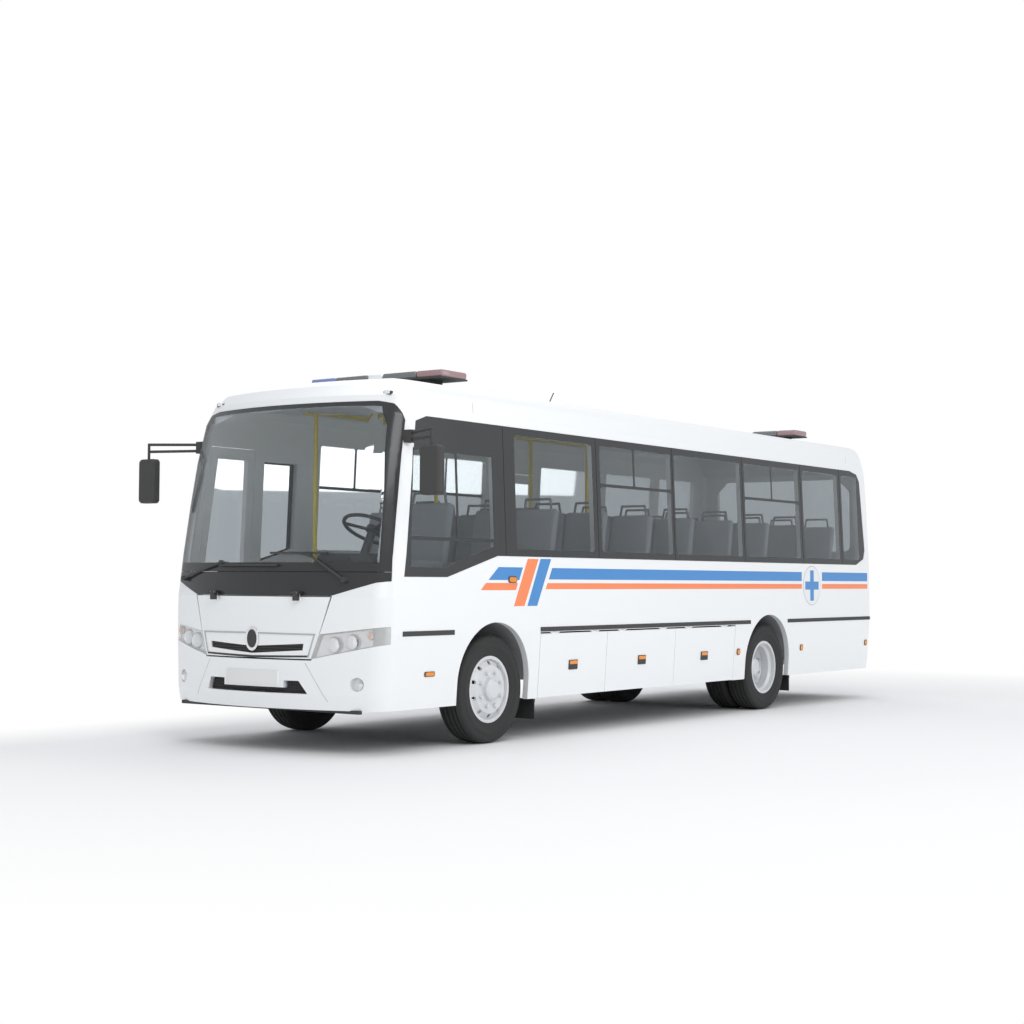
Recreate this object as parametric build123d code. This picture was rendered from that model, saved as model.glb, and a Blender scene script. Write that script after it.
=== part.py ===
"""Medical bus: a midibus body on a ladder frame, modelled as an assembly.

Frame: X to the bus's left, Y to its rear, Z up, millimetres. The origin lies on the
ground, under the middle of the whole outline. Right-hand pieces mirror left-hand ones.
"""

import os
from math import atan2, cos, radians, sin, sqrt

from build123d import *

# Whole vehicle
LENGTH = 8750.0
HALF_WIDTH = 1096.0
SKIRT_Z = 322.0
WHEELBASE = 4628.0
FRONT_OVERHANG = 1600.0
WALL = 50.0
FIT = 0.3
GAP = 6.0
SWING_GAP = 9.0
HINGE_FIT = 0.3

NOSE_Y = -LENGTH / 2
TAIL_Y = LENGTH / 2
FRONT_AXLE_Y = NOSE_Y + FRONT_OVERHANG
REAR_AXLE_Y = FRONT_AXLE_Y + WHEELBASE

# Cross-section of the body: how far each break of the side lies inside the widest
# line, and its height
RAIL_LINE_Z = 872.0
WAIST_Z = 1465.0
BAND_TOP_Z = 2490.0
SIDE_BREAKS = [  # (inset from HALF_WIDTH, z)
    (34.0, SKIRT_Z),
    (0.0, RAIL_LINE_Z),
    (5.0, WAIST_Z),
    (53.0, BAND_TOP_Z),
    (69.0, 2640.0),
]
CANTRAIL_RADIUS = 120.0
CANTRAIL_LEAN = 10.4
CROWN_Z = 2843.0

# Nose and tail: how far the middle of each end lies behind the outermost point at
# each height
END_PROFILE = [  # (z, nose set back, tail set back)
    (270.0, 42.0, 34.0),
    (430.0, 12.0, 6.0),
    (RAIL_LINE_Z, 10.0, 0.0),
    (1140.0, 12.0, 0.0),
    (WAIST_Z, 58.0, 2.0),
    (1850.0, 118.0, 6.0),
    (2190.0, 180.0, 16.0),
    (BAND_TOP_Z, 262.0, 42.0),
    (2640.0, 352.0, 108.0),
    (2735.0, 480.0, 230.0),
    (2795.0, 680.0, 430.0),
    (2832.0, 960.0, 760.0),
    (2875.0, 1500.0, 1500.0),
]
NOSE_RADIUS = 2500.0
NOSE_CORNER = 200.0
TAIL_RADIUS = 9000.0
TAIL_CORNER = 125.0
END_MARGIN = 4.0

# Joins between the body's panels
FRONT_SEAM_Y = -3957.0
PILLAR_FOOT_Z = 1290.0
PILLAR_LEAN = 145.0
REAR_SEAM_Y = 4262.0
CAP_FRONT_Y = -3049.0
CAP_REAR_Y = 3743.0
CANTRAIL_Z = 2560.0

# Wheels
TYRE_RADIUS = 419.0
TYRE_WIDTH = 232.0
RIM_RADIUS = 260.5
TWIN_PITCH = 256.0
HUB_Z = TYRE_RADIUS
TYRE_OUTER_X = 1038.0
ARCH_RADIUS = 470.0
ARCH_Z = 473.0
LINER_RADIUS = 492.0
LINER_THICK = 6.0
FRONT_ARCH_Y = FRONT_AXLE_Y - 20.0
REAR_ARCH_Y = REAR_AXLE_Y - 30.0
KINGPIN_X = 835.0
STEER_LIMIT = 35.0

# Glass
GLASS = 6.0
PANE_JOINT = 8.0
BAND = {  # dark glazed band along each side
    "foot_z": 1290.0,
    "foot_front_y": -3935.0,
    "foot_rear_y": -3423.0,
    "step_y": -2779.0,
    "sill_z": 1458.0,
    "rear_y": 4131.0,
    "rear_top_y": 4066.0,
    "front_top_y": -3760.0,
    "top_z": 2488.0,
    "corner": 110.0,
}
WINDOW_SILL_Z = 1515.0
WINDOW_HEAD_Z = 2425.0
CAB_WINDOW_HEAD_Z = 2243.0
CAB_WINDOW_SILL_Z = 1345.0
WINDOW_CORNER = 28.0
LEFT_WINDOWS = [  # (front edge, rear edge)
    (-2515.0, -1373.0),
    (-1255.0, -60.0),
    (3.0, 1279.0),
    (1361.0, 2550.0),
    (2641.0, 3495.0),
    (3588.0, 3987.0),
]
RIGHT_WINDOWS = [  # (front edge, rear edge)
    (-2515.0, -1400.0),
    (-1255.0, -110.0),
    (835.0, 1990.0),
    (2080.0, 3074.0),
    (3201.0, 3987.0),
]
CAB_WINDOW_Y = (-3872.0, -2803.0)

# Doors, on the right side: front edge, rear edge
FRONT_DOOR_Y = (-3925.0, -3322.0)
MID_DOOR_Y = (-45.0, 755.0)
DOOR_FOOT_Z = 345.0
DOOR_HEAD_Z = 2330.0
DOOR_GLASS_Z = (800.0, 2240.0)
DOOR_FRAME = 78.0
DOOR_HINGE_Z = [560.0, 1150.0, 2050.0]

# Side flaps, on the left side
FLAP_EDGES_Y = (-2187.0, -1180.0, -23.0, 1114.0)
FLAP_TOP_Z = 840.0
FLAP_HINGE_Z = 847.0
FLAP_HINGE_X = HALF_WIDTH + 1.0
FLAP_THICK = 36.0

# Front lid
LID_TOP_Z = 1141.0
LID_TOP_HALF = 677.0
LID_MID_Z = 872.0
LID_MID_HALF = 595.0
LID_FOOT_Z = 690.0
LID_FOOT_HALF = 528.0
LID_FOOT_GAP = 11.0
LID_SWING_GAP = 9.0
LID_HINGE_Y = NOSE_Y + 11.0
LID_HINGE_Z = 1172.0

# Floor and frame
FLOOR_TOP_Z = 980.0
FLOOR_THICK = 30.0
RAIL_INNER_X = 400.0
RAIL_WIDTH = 60.0
RAIL_TOP_Z = 840.0
RAIL_HEIGHT = 220.0
RAIL_WEB = 10.0


def block(x0: float, x1: float, y0: float, y1: float, z0: float, z1: float) -> Solid:
    """A box between two corners."""
    centre = Pos((x0 + x1) / 2, (y0 + y1) / 2, (z0 + z1) / 2)
    return centre * Box(abs(x1 - x0), abs(y1 - y0), abs(z1 - z0))


def mirrored(shape):
    """The same shape on the other side of the centre plane."""
    return mirror(shape, Plane.YZ)


def half_width_at(z: float) -> float:
    """Half the body's width at a height, along the side's straight breaks."""
    points = [(HALF_WIDTH - inset, height) for inset, height in SIDE_BREAKS]
    if z <= points[0][1]:
        (xa, za), (xb, zb) = points[0], points[1]
        return xa + (z - za) * (xb - xa) / (zb - za)
    for (xa, za), (xb, zb) in zip(points, points[1:]):
        if z <= zb:
            return xa + (z - za) * (xb - xa) / (zb - za)
    return points[-1][0]


def side_prism(inset: float) -> Solid:
    """The body's cross-section, drawn in by inset and run past both ends."""
    floor_z = SKIRT_Z if inset == 0 else SKIRT_Z - 200
    side = [(HALF_WIDTH - cut - inset, z) for cut, z in SIDE_BREAKS]
    foot = (half_width_at(floor_z) - inset, floor_z)
    side[0] = foot
    top_x, top_z = side[-1]
    centre_x = top_x + inset - CANTRAIL_RADIUS
    radius = CANTRAIL_RADIUS - inset

    def on_arc(angle: float) -> tuple[float, float]:
        return (centre_x + radius * cos(radians(angle)), top_z + radius * sin(radians(angle)))

    end_angle = 90 - CANTRAIL_LEAN
    left = [(x, 0, z) for x, z in side]
    arc_mid, arc_end = on_arc(end_angle / 2), on_arc(end_angle)

    def at(point: tuple[float, float], sign: int) -> tuple[float, float, float]:
        return (sign * point[0], 0, point[1])

    edges = []
    for sign in (1, -1):
        points = [(sign * x, 0, z) for x, _, z in left]
        edges += [Line(a, b) for a, b in zip(points, points[1:])]
        edges.append(ThreePointArc(points[-1], at(arc_mid, sign), at(arc_end, sign)))
    edges.append(ThreePointArc(at(arc_end, 1), (0, 0, CROWN_Z - inset), at(arc_end, -1)))
    edges.append(Line((-foot[0], 0, foot[1]), (foot[0], 0, foot[1])))
    face = make_face(Wire(edges))
    return extrude(face, amount=LENGTH, dir=(0, 1, 0), both=True)


def end_corner(half: float, radius: float, corner: float) -> tuple[float, float, float]:
    """Where an end's long arc meets its corner arc.

    Returns the meeting point's x, its distance behind the end, and the corner
    centre's distance behind the end.
    """
    reach = sqrt((radius - corner) ** 2 - (half - corner) ** 2)
    share = radius / (radius - corner)
    return (half - corner) * share, radius - reach * share, radius - reach


def plan_wire(z: float, nose: float, tail: float, half: float, inset: float) -> Wire:
    """The body seen from above at one height."""
    edges = []
    ends = []
    for end_y, way, radius, corner in (
        (nose, 1, NOSE_RADIUS - inset, NOSE_CORNER - inset),
        (tail, -1, TAIL_RADIUS - inset, TAIL_CORNER - inset),
    ):
        meet_x, meet_y, centre = end_corner(half, radius, corner)
        turn = atan2(centre - meet_y, meet_x - (half - corner)) / 2
        mid = (half - corner + corner * cos(turn), centre - corner * sin(turn))
        ends.append(
            [
                (meet_x, end_y + way * meet_y, z),
                (mid[0], end_y + way * mid[1], z),
                (half, end_y + way * centre, z),
            ]
        )
    (n_meet, n_mid, n_side), (t_meet, t_mid, t_side) = ends

    def flip(p: tuple[float, float, float]) -> tuple[float, float, float]:
        return (-p[0], p[1], p[2])

    edges = [
        ThreePointArc(flip(n_meet), (0, nose, z), n_meet),
        ThreePointArc(n_meet, n_mid, n_side),
        Line(n_side, t_side),
        ThreePointArc(t_side, t_mid, t_meet),
        ThreePointArc(t_meet, (0, tail, z), flip(t_meet)),
        ThreePointArc(flip(t_meet), flip(t_mid), flip(t_side)),
        Line(flip(t_side), flip(n_side)),
        ThreePointArc(flip(n_side), flip(n_mid), flip(n_meet)),
    ]
    return Wire(edges)


def end_loft(inset: float) -> Solid:
    """The body's nose and tail as one ruled loft through its plans."""
    wires = []
    drop_from, drop_to = BAND_TOP_Z, SIDE_BREAKS[-1][1]
    for z, nose_back, tail_back in END_PROFILE:
        drop = inset * min(1.0, max(0.0, (z - drop_from) / (drop_to - drop_from)))
        low = -220.0 if (inset and z == END_PROFILE[0][0]) else 0.0
        wires.append(
            plan_wire(
                z - drop + low,
                NOSE_Y + nose_back + inset,
                TAIL_Y - tail_back - inset,
                half_width_at(z) + END_MARGIN - inset,
                inset,
            )
        )
    return Solid.make_loft(wires, ruled=True)


def hull(inset: float) -> Solid:
    """The whole closed body, drawn in by inset."""
    return side_prism(inset) & end_loft(inset)




def side_view(points: list[tuple[float, float]], x0: float, x1: float) -> Solid:
    """A side-view outline of (y, z) points, run between two x places."""
    wire = Polyline([(x0, y, z) for y, z in points], close=True)
    return extrude(make_face(wire), amount=x1 - x0, dir=(1, 0, 0))


def front_view(points: list[tuple[float, float]], y0: float, y1: float) -> Solid:
    """A front-view outline of (x, z) points, run between two y places."""
    wire = Polyline([(x, y0, z) for x, z in points], close=True)
    return extrude(make_face(wire), amount=y1 - y0, dir=(0, 1, 0))


def rounded_opening(y0: float, y1: float, z0: float, z1: float, radius: float, side: int) -> Solid:
    """A window opening through one side wall, with rounded corners."""
    solid = block(side * (HALF_WIDTH - 150), side * (HALF_WIDTH + 30), y0, y1, z0, z1)
    return fillet(solid.edges().filter_by(Axis.X), radius)


def side_band(front: float, rear: float, side: int, shrink: float = 0.0) -> Solid:
    """The part of the dark band that lies between two y places."""
    b = BAND
    c = b["corner"]
    s = shrink
    outline = [
        (b["foot_front_y"] + s, b["foot_z"] + s),
        (b["foot_rear_y"], b["foot_z"] + s),
        (b["step_y"], b["sill_z"] + s),
        (b["rear_y"] - 2.2 * c, b["sill_z"] + s),
        (b["rear_y"] - 0.4 * c - s, b["sill_z"] + 0.6 * c + s),
        (b["rear_y"] - s, b["sill_z"] + 1.5 * c),
        (b["rear_top_y"] - s, b["top_z"] - c),
        (b["rear_top_y"] - 0.6 * c - s, b["top_z"] - 0.3 * c - s),
        (b["rear_top_y"] - 2.2 * c, b["top_z"] - s),
        (b["front_top_y"] + 1.2 * c, b["top_z"] - s),
        (b["front_top_y"] + s, b["top_z"] - 0.4 * c - s),
    ]
    x_in, x_out = side * (HALF_WIDTH - 200), side * (HALF_WIDTH + 50)
    band = side_view(outline, min(x_in, x_out), max(x_in, x_out))
    return band & block(x_in, x_out, front, rear, 1000, 3000)


def cab_opening(side: int, rear: float = CAB_WINDOW_Y[1]) -> Solid:
    """The cab window's opening, with its stepped sill."""
    front = CAB_WINDOW_Y[0]
    points = [
        (front, CAB_WINDOW_SILL_Z),
        (BAND["foot_rear_y"] - 15, CAB_WINDOW_SILL_Z),
        (rear, WINDOW_SILL_Z + 5),
        (rear, CAB_WINDOW_HEAD_Z),
        (front + 70, CAB_WINDOW_HEAD_Z),
    ]
    x_in, x_out = side * (HALF_WIDTH - 200), side * (HALF_WIDTH + 50)
    return side_view(points, min(x_in, x_out), max(x_in, x_out))


def arch_cut(axle_y: float, radius: float, depth: float) -> Solid:
    """The space of a wheel arch on both sides, from outside to depth inside."""
    reach = HALF_WIDTH + 60
    ring = Pos(0, axle_y, ARCH_Z) * Rot(0, 90, 0) * Cylinder(radius, 2 * reach)
    legs = block(-reach, reach, axle_y - radius, axle_y + radius, SKIRT_Z - 300, ARCH_Z)
    inner = HALF_WIDTH - depth
    return (ring + legs) - block(-inner, inner, axle_y - 900, axle_y + 900, -400, 1500)


def lid_outline(grow: float) -> list[tuple[float, float]]:
    """The front lid's outline in front view, grown outwards."""
    foot = LID_FOOT_GAP if grow > 0 else 0
    swing = LID_SWING_GAP if grow > 0 else 0
    right = [
        (LID_TOP_HALF + grow + swing, LID_TOP_Z + grow),
        (LID_MID_HALF + grow, LID_MID_Z),
        (LID_FOOT_HALF + grow, LID_FOOT_Z - foot),
    ]
    return right + [(-x, z) for x, z in reversed(right)]


# Windscreen, lamps and bumper on the nose
SCREEN_FOOT_Z = 1322.0
COWL_FOOT_Z = 1147.0
COWL_SIDE_Z = 1268.0
SCREEN_HEAD_Z = 2590.0
SCREEN_HEAD_SIDE_Z = 2545.0
SCREEN_EDGE = [  # (how far behind the nose the screen's side edge lies, z)
    (312.0, COWL_SIDE_Z),
    (335.0, 1420.0),
    (395.0, 1800.0),
    (462.0, 2190.0),
    (520.0, 2440.0),
]
LAMP_EDGE_Y = NOSE_Y + 312.0
LAMP_FOOT_SIDE_Z = 815.0
LAMP_HEAD_SIDE_Z = 938.0
BUMPER_TOP_Z = 815.0
FOG_X = 880.0
FOG_Z = 514.0
FOG_RADIUS = 50.0


def screen_region(grow: float) -> Solid:
    """The space that the windscreen and the dark cowl under it take in the nose."""
    side = [(NOSE_Y + back + grow, z) for back, z in SCREEN_EDGE]
    side[0] = (side[0][0], COWL_FOOT_Z - grow)
    top = SCREEN_HEAD_Z + grow
    profile = [(NOSE_Y - 200, COWL_FOOT_Z - grow)] + side
    profile += [(side[-1][0] - 25, SCREEN_HEAD_SIDE_Z + 20), (side[-1][0] - 60, top), (NOSE_Y - 200, top)]
    wide = HALF_WIDTH + 60
    from_side = side_view(profile, -wide, wide)
    front = [
        (LID_TOP_HALF + 1.5 * grow, COWL_FOOT_Z - grow),
        (1000 + grow, COWL_SIDE_Z - 22 - grow),
        (wide, COWL_SIDE_Z - grow),
        (wide, SCREEN_HEAD_SIDE_Z + grow),
        (860 + grow, SCREEN_HEAD_Z + grow),
    ]
    outline = front + [(-x, z) for x, z in reversed(front)]
    return from_side & front_view(outline, NOSE_Y - 300, NOSE_Y + 700)


def lamp_region(grow: float) -> Solid:
    """The left headlamp's space in the nose."""
    points = [
        (LID_FOOT_HALF + GAP - grow, LID_FOOT_Z - grow),
        (LID_MID_HALF + GAP - grow, LID_MID_Z + grow),
        (HALF_WIDTH + 40, LAMP_HEAD_SIDE_Z + grow),
        (HALF_WIDTH + 40, LAMP_FOOT_SIDE_Z - grow),
    ]
    return front_view(points, NOSE_Y - 100, LAMP_EDGE_Y + grow)


def door_shape(front: float, rear: float, low: float, high: float, lean: float, shrink: float) -> Solid:
    """A door's outline on the right wall, whose front edge may lean with the pillar."""
    slope = lean / (CANTRAIL_Z - PILLAR_FOOT_Z)

    def front_at(z: float) -> float:
        return front + shrink + slope * max(0.0, z - PILLAR_FOOT_Z)

    top = high - min(shrink, 0)
    points = [(front_at(low), low), (rear - shrink, low), (rear - shrink, top), (front_at(top), top)]
    if low < PILLAR_FOOT_Z < top:
        points.append((front_at(PILLAR_FOOT_Z), PILLAR_FOOT_Z))
    return side_view(points, -HALF_WIDTH - 60, -HALF_WIDTH + 200)


def external_hinge(axis_y: float, heights: list[float], side: int, way: int) -> tuple[list, list]:
    """Upright barrel hinges outside a side wall: the fixed and the moving halves.

    The leaf lies on the way side of the axis, along Y.
    """
    pin_r, barrel_r, length, collar = 4.0, 9.0, 90.0, 14.0
    axis_x = side * (HALF_WIDTH + 11)
    fixed, moving = [], []
    for z in heights:
        wall_x = half_width_at(z) - 12
        low, high = z - length / 2, z + length / 2
        fixed.append(Pos(axis_x, axis_y, z) * Cylinder(pin_r, length))
        for a, b in ((low, low + collar), (high - collar, high)):
            fixed.append(Pos(axis_x, axis_y, (a + b) / 2) * Cylinder(barrel_r, collar))
            fixed.append(block(side * wall_x, axis_x, axis_y - way * 22, axis_y - way * 3, a, b))
        a, b = low + collar + 0.5, high - collar - 0.5
        tube = Pos(axis_x, axis_y, z) * (Cylinder(barrel_r, b - a) - Cylinder(pin_r + HINGE_FIT, b - a))
        moving.append(tube)
        moving.append(block(side * wall_x, axis_x - side * 5, axis_y + way * 6, axis_y + way * 24, a, b))
    return fixed, moving


def nose_region(grow: float) -> Solid:
    """All that lies ahead of the seam between the nose and the side walls."""
    points = [
        (NOSE_Y - 300, 0),
        (FRONT_SEAM_Y + grow, 0),
        (FRONT_SEAM_Y + grow, PILLAR_FOOT_Z),
        (FRONT_SEAM_Y + PILLAR_LEAN + grow, CANTRAIL_Z),
        (NOSE_Y - 300, CANTRAIL_Z),
    ]
    return side_view(points, -HALF_WIDTH - 100, HALF_WIDTH + 100)


def panels() -> dict:
    """The body's outer panels, doors, flaps, lid and glass."""
    outer = hull(0)
    inner = hull(WALL)
    shell = outer - inner
    glass_skin = outer - hull(GLASS)
    rebate = outer - hull(GLASS + FIT)
    wide = 1300
    out = {}

    walls = {}
    for side in (1, -1):
        half = block(0, side * wide, FRONT_SEAM_Y, REAR_SEAM_Y - FIT, 0, CANTRAIL_Z - FIT)
        walls[side] = (shell & half) - nose_region(FIT)
    arches = arch_cut(FRONT_ARCH_Y, ARCH_RADIUS, 200) + arch_cut(REAR_ARCH_Y, ARCH_RADIUS, 200)
    walls = {side: wall - arches for side, wall in walls.items()}

    # Glazed bands: a shallow bed for the panes, and the window openings behind them
    joints = [-2665.0, -1314.0, -28.0, 1320.0, 2596.0, 3542.0]
    left_spans = list(zip([-4200.0] + joints, joints + [4400.0]))
    right_joints = [-2665.0, -1314.0]
    right_spans = [
        (FRONT_DOOR_Y[1] + GAP + 34, -2665.0),
        (-2665.0, -1314.0),
        (-1314.0, MID_DOOR_Y[0] - GAP - 20),
        (MID_DOOR_Y[1] + GAP + 20, 2035.0),
        (2035.0, 3138.0),
        (3138.0, 4400.0),
    ]
    panes = []
    for side, spans, windows in ((1, left_spans, LEFT_WINDOWS), (-1, right_spans, RIGHT_WINDOWS)):
        runs = [(spans[0][0], spans[-1][1])] if side > 0 else [(spans[0][0], spans[2][1]), (spans[3][0], spans[-1][1])]
        for a, b in runs:
            walls[side] = walls[side] - (rebate & side_band(a, b, side))
        for a, b in spans:
            joint = PANE_JOINT / 2
            panes.append(glass_skin & side_band(a + joint, b - joint, side, 2.0))
        for a, b in windows:
            walls[side] = walls[side] - rounded_opening(a, b, WINDOW_SILL_Z, WINDOW_HEAD_Z, WINDOW_CORNER, side)
    walls[1] = walls[1] - cab_opening(1)
    walls[-1] = walls[-1] - (cab_opening(-1) & block(-wide, 0, -3205, -2000, 0, 3000))

    # Doors on the right
    door_glass = {}
    for name, (front, rear) in (("front_door", FRONT_DOOR_Y), ("mid_door", MID_DOOR_Y)):
        lean = PILLAR_LEAN if front == FRONT_DOOR_Y[0] else 0.0
        spare = SWING_GAP - GAP
        hole = door_shape(front - spare, rear + spare, 0, DOOR_HEAD_Z, lean, -GAP)
        walls[-1] = walls[-1] - hole
        leaf = shell & door_shape(front, rear, DOOR_FOOT_Z, DOOR_HEAD_Z, lean, 0)
        low, high = DOOR_GLASS_Z
        window = door_shape(front, rear, low, high, lean, DOOR_FRAME)
        leaf = leaf - window - (rebate & door_shape(front, rear, low - 38, high + 38, lean, 40))
        pane = glass_skin & door_shape(front, rear, low - 36, high + 36, lean, 42)
        axis_y, way = (rear + GAP / 2, -1) if lean else (front - GAP / 2, 1)
        fixed, moving = external_hinge(axis_y, DOOR_HINGE_Z, -1, way)
        for piece in fixed:
            walls[-1] = walls[-1] + piece
        for piece in moving:
            leaf = leaf + piece
        out[name] = leaf
        out[name + "_glass"] = pane

    # Flaps on the left, hung under the rub rail
    edges = FLAP_EDGES_Y
    thin = outer - hull(FLAP_THICK)
    hinge_rest = FLAP_HINGE_Z - FLAP_TOP_Z
    cut = block(HALF_WIDTH - 200, wide, edges[0] - GAP / 2, edges[-1] + GAP / 2, 0, FLAP_HINGE_Z + hinge_rest - 1)
    walls[1] = walls[1] - cut
    for name, a, b in zip(("flap_front", "flap_middle", "flap_rear"), edges, edges[1:]):
        front, rear = a + GAP / 2, b - GAP / 2
        leaf = thin & block(HALF_WIDTH - 200, wide, front, rear, SKIRT_Z + 4, FLAP_TOP_Z)
        for share in (0.2, 0.8):
            y = front + share * (rear - front)
            barrel = Pos(FLAP_HINGE_X, y, FLAP_HINGE_Z) * Rot(90, 0, 0) * Cylinder(4, 80)
            bore = Pos(FLAP_HINGE_X, y, FLAP_HINGE_Z) * Rot(90, 0, 0) * Cylinder(2 + HINGE_FIT, 90)
            web = block(FLAP_HINGE_X - 4, FLAP_HINGE_X - 1, y - 40, y + 40, FLAP_TOP_Z - 8, FLAP_HINGE_Z - 3)
            leaf = leaf + ((barrel + web) - bore)
            pin = Pos(FLAP_HINGE_X, y, FLAP_HINGE_Z) * Rot(90, 0, 0) * Cylinder(2, 120)
            ears = pin
            for end in (-60, 41):
                ear = block(FLAP_HINGE_X - 10, FLAP_HINGE_X + 2.5, y + end, y + end + 19, FLAP_HINGE_Z - 3, FLAP_HINGE_Z + 9)
                ears = ears + ear
            walls[1] = walls[1] + ears
        out[name] = leaf
    out["left_wall"] = walls[1]
    out["right_wall"] = walls[-1]

    # Roof between its two caps
    out["roof"] = shell & block(-wide, wide, CAP_FRONT_Y + FIT, CAP_REAR_Y - FIT, CANTRAIL_Z, 3000)

    # Nose
    nose = shell & (nose_region(0) + block(-wide, wide, NOSE_Y - 100, CAP_FRONT_Y, CANTRAIL_Z, 3000))
    lid_hole = front_view(lid_outline(GAP), NOSE_Y - 100, NOSE_Y + 300)
    lid_space = front_view(lid_outline(0), NOSE_Y - 100, NOSE_Y + 300)
    lamp_hole = lamp_region(0)
    lamp_space = lamp_region(-FIT)
    nose = nose - lid_hole - lamp_hole - mirrored(lamp_hole)
    bumper_zone = block(-wide, wide, NOSE_Y - 100, FRONT_SEAM_Y, 0, BUMPER_TOP_Z)
    mask = nose - block(-wide, wide, NOSE_Y - 100, FRONT_SEAM_Y + FIT, 0, BUMPER_TOP_Z + FIT)
    bumper = nose & bumper_zone

    screen_bed = rebate & screen_region(0)
    opening = screen_region(-38)
    mask = mask - screen_bed - opening
    split = block(-wide, wide, NOSE_Y - 200, NOSE_Y + 900, 0, SCREEN_FOOT_Z)
    glass = glass_skin & screen_region(-1.5)
    out["windscreen"] = glass - block(-wide, wide, NOSE_Y - 200, NOSE_Y + 900, 0, SCREEN_FOOT_Z + 4)
    cowl_thick = outer - hull(WALL)
    cowl = (glass_skin & screen_region(-1.5)) + (cowl_thick & screen_region(-40))
    out["cowl_panel"] = cowl & split
    out["front_mask"] = mask

    # Bumper: lower intake with a notch for the blank plate, and lamp holes
    intake = [(-470, 530), (-300, 530), (-300, 478), (300, 478), (300, 530), (430, 530), (505, 436), (-505, 436)]
    bumper = bumper - front_view(intake, NOSE_Y - 100, NOSE_Y + 300)
    lamp_front = outer - hull(WALL - 2)
    lamps = [lamp_front & lamp_space, mirrored(lamp_front & lamp_space)]
    for side in (1, -1):
        axis = Pos(side * FOG_X, NOSE_Y + 160, FOG_Z) * Rot(90, 0, 0)
        bumper = bumper - axis * Cylinder(FOG_RADIUS, 300)
        lamps.append((hull(8) - hull(WALL - 2)) & (axis * Cylinder(FOG_RADIUS - FIT, 300)))
    out["front_bumper"] = bumper
    out["front_lamps"] = Compound(children=[s for lamp in lamps for s in lamp.solids()])

    # Front lid with its grille slot
    lid_skin = outer - hull(10)
    rim = front_view([(x * 0.88, LID_FOOT_Z + 30 + (z - LID_FOOT_Z) * 0.86) for x, z in lid_outline(0)], NOSE_Y - 100, NOSE_Y + 300)
    lid = (lid_skin & lid_space) + ((outer - hull(WALL)) & rim)
    slot = [(-470, 800), (0, 775), (470, 800), (462, 752), (0, 722), (-462, 752)]
    lid = lid - front_view(slot, NOSE_Y - 100, NOSE_Y + 300)
    fixed, moving = [], []
    for x in (-420.0, 420.0):
        back_y = NOSE_Y + 12 + x * x / (2 * NOSE_RADIUS)
        hinge_at = Pos(x, LID_HINGE_Y, LID_HINGE_Z) * Rot(0, 90, 0)
        arm = block(x - 20, x + 20, LID_HINGE_Y - 4, back_y - 3, LID_TOP_Z - 26, LID_HINGE_Z)
        arm = arm + block(x - 20, x + 20, LID_HINGE_Y - 4, back_y + 4, LID_TOP_Z - 26, LID_TOP_Z - 2)
        tube = (hinge_at * Cylinder(9, 40) + arm) - hinge_at * Cylinder(4 + HINGE_FIT, 60)
        moving.append(tube)
        pin = hinge_at * Cylinder(4, 84)
        for a in (-42, 22):
            pin = pin + block(x + a, x + a + 20, LID_HINGE_Y - 7, back_y + 2, LID_HINGE_Z - 9, LID_HINGE_Z + 9)
        fixed.append(pin)
    for piece in moving:
        lid = lid + piece
    out["front_lid"] = lid
    cowl = out["cowl_panel"]
    for piece in fixed:
        cowl = cowl + piece
    out["cowl_panel"] = cowl

    # Tail with its window and lamps
    tail = shell & (
        block(-wide, wide, REAR_SEAM_Y, TAIL_Y + 100, 0, CANTRAIL_Z)
        + block(-wide, wide, CAP_REAR_Y, TAIL_Y + 100, CANTRAIL_Z, 3000)
    )
    rear_space = block(-890, 890, TAIL_Y - 300, TAIL_Y + 100, 1560, 2470)
    rear_space = fillet(rear_space.edges().filter_by(Axis.Y), 80)
    rear_hole = block(-836, 836, TAIL_Y - 300, TAIL_Y + 100, 1615, 2425)
    rear_hole = fillet(rear_hole.edges().filter_by(Axis.Y), 60)
    tail = tail - (rebate & rear_space) - rear_hole
    pane = block(-888, 888, TAIL_Y - 300, TAIL_Y + 100, 1562, 2468)
    panes.append(glass_skin & fillet(pane.edges().filter_by(Axis.Y), 78))
    lamp_box = block(840, 985, TAIL_Y - 200, TAIL_Y + 100, 900, 1330)
    lamp_box = fillet(lamp_box.edges().filter_by(Axis.Y), 25)
    tail = tail - lamp_box - mirrored(lamp_box)
    lens = block(840 + FIT, 985 - FIT, TAIL_Y - 200, TAIL_Y + 100, 900 + FIT, 1330 - FIT)
    lens = fillet(lens.edges().filter_by(Axis.Y), 25)
    lens = (outer - hull(WALL - 5)) & lens
    out["rear_lamps"] = Compound(children=lens.solids() + mirrored(lens).solids())
    out["rear_mask"] = tail
    out["saloon_glazing"] = Compound(children=[s for p in panes for s in p.solids()])
    return out


# Running gear
AXLE_X = TYRE_OUTER_X - TYRE_WIDTH / 2
RIM_HALF = 92.0
FACETS = 40
FLANGE = 8.0
HUB_RADIUS = 85.0
DISC_THICK = 14.0
BARREL_THICK = 10.0
STUD_CIRCLE = 137.5
STUDS = 8
HAND_HOLES = 10
HAND_HOLE_RADIUS = 17.0
HAND_HOLE_CIRCLE = 205.0
FRONT_DISC_OUT = 100.0
SPINDLE_RADIUS = 30.0
REAR_SPINDLE_RADIUS = 45.0
KINGPIN_RADIUS = 16.0
SPRING_X = 430.0
SPRING_HALF = 32.0
KNUCKLE_HALF = 60.0


def spun(points: list[tuple[float, float]], centre: tuple[float, float, float]) -> Solid:
    """A closed outline of (x, radius) points turned about the wheel's axis."""
    face = make_face(Polyline([(x, 0, r) for x, r in points], close=True))
    return Pos(*centre) * revolve(face, Axis.X)


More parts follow.
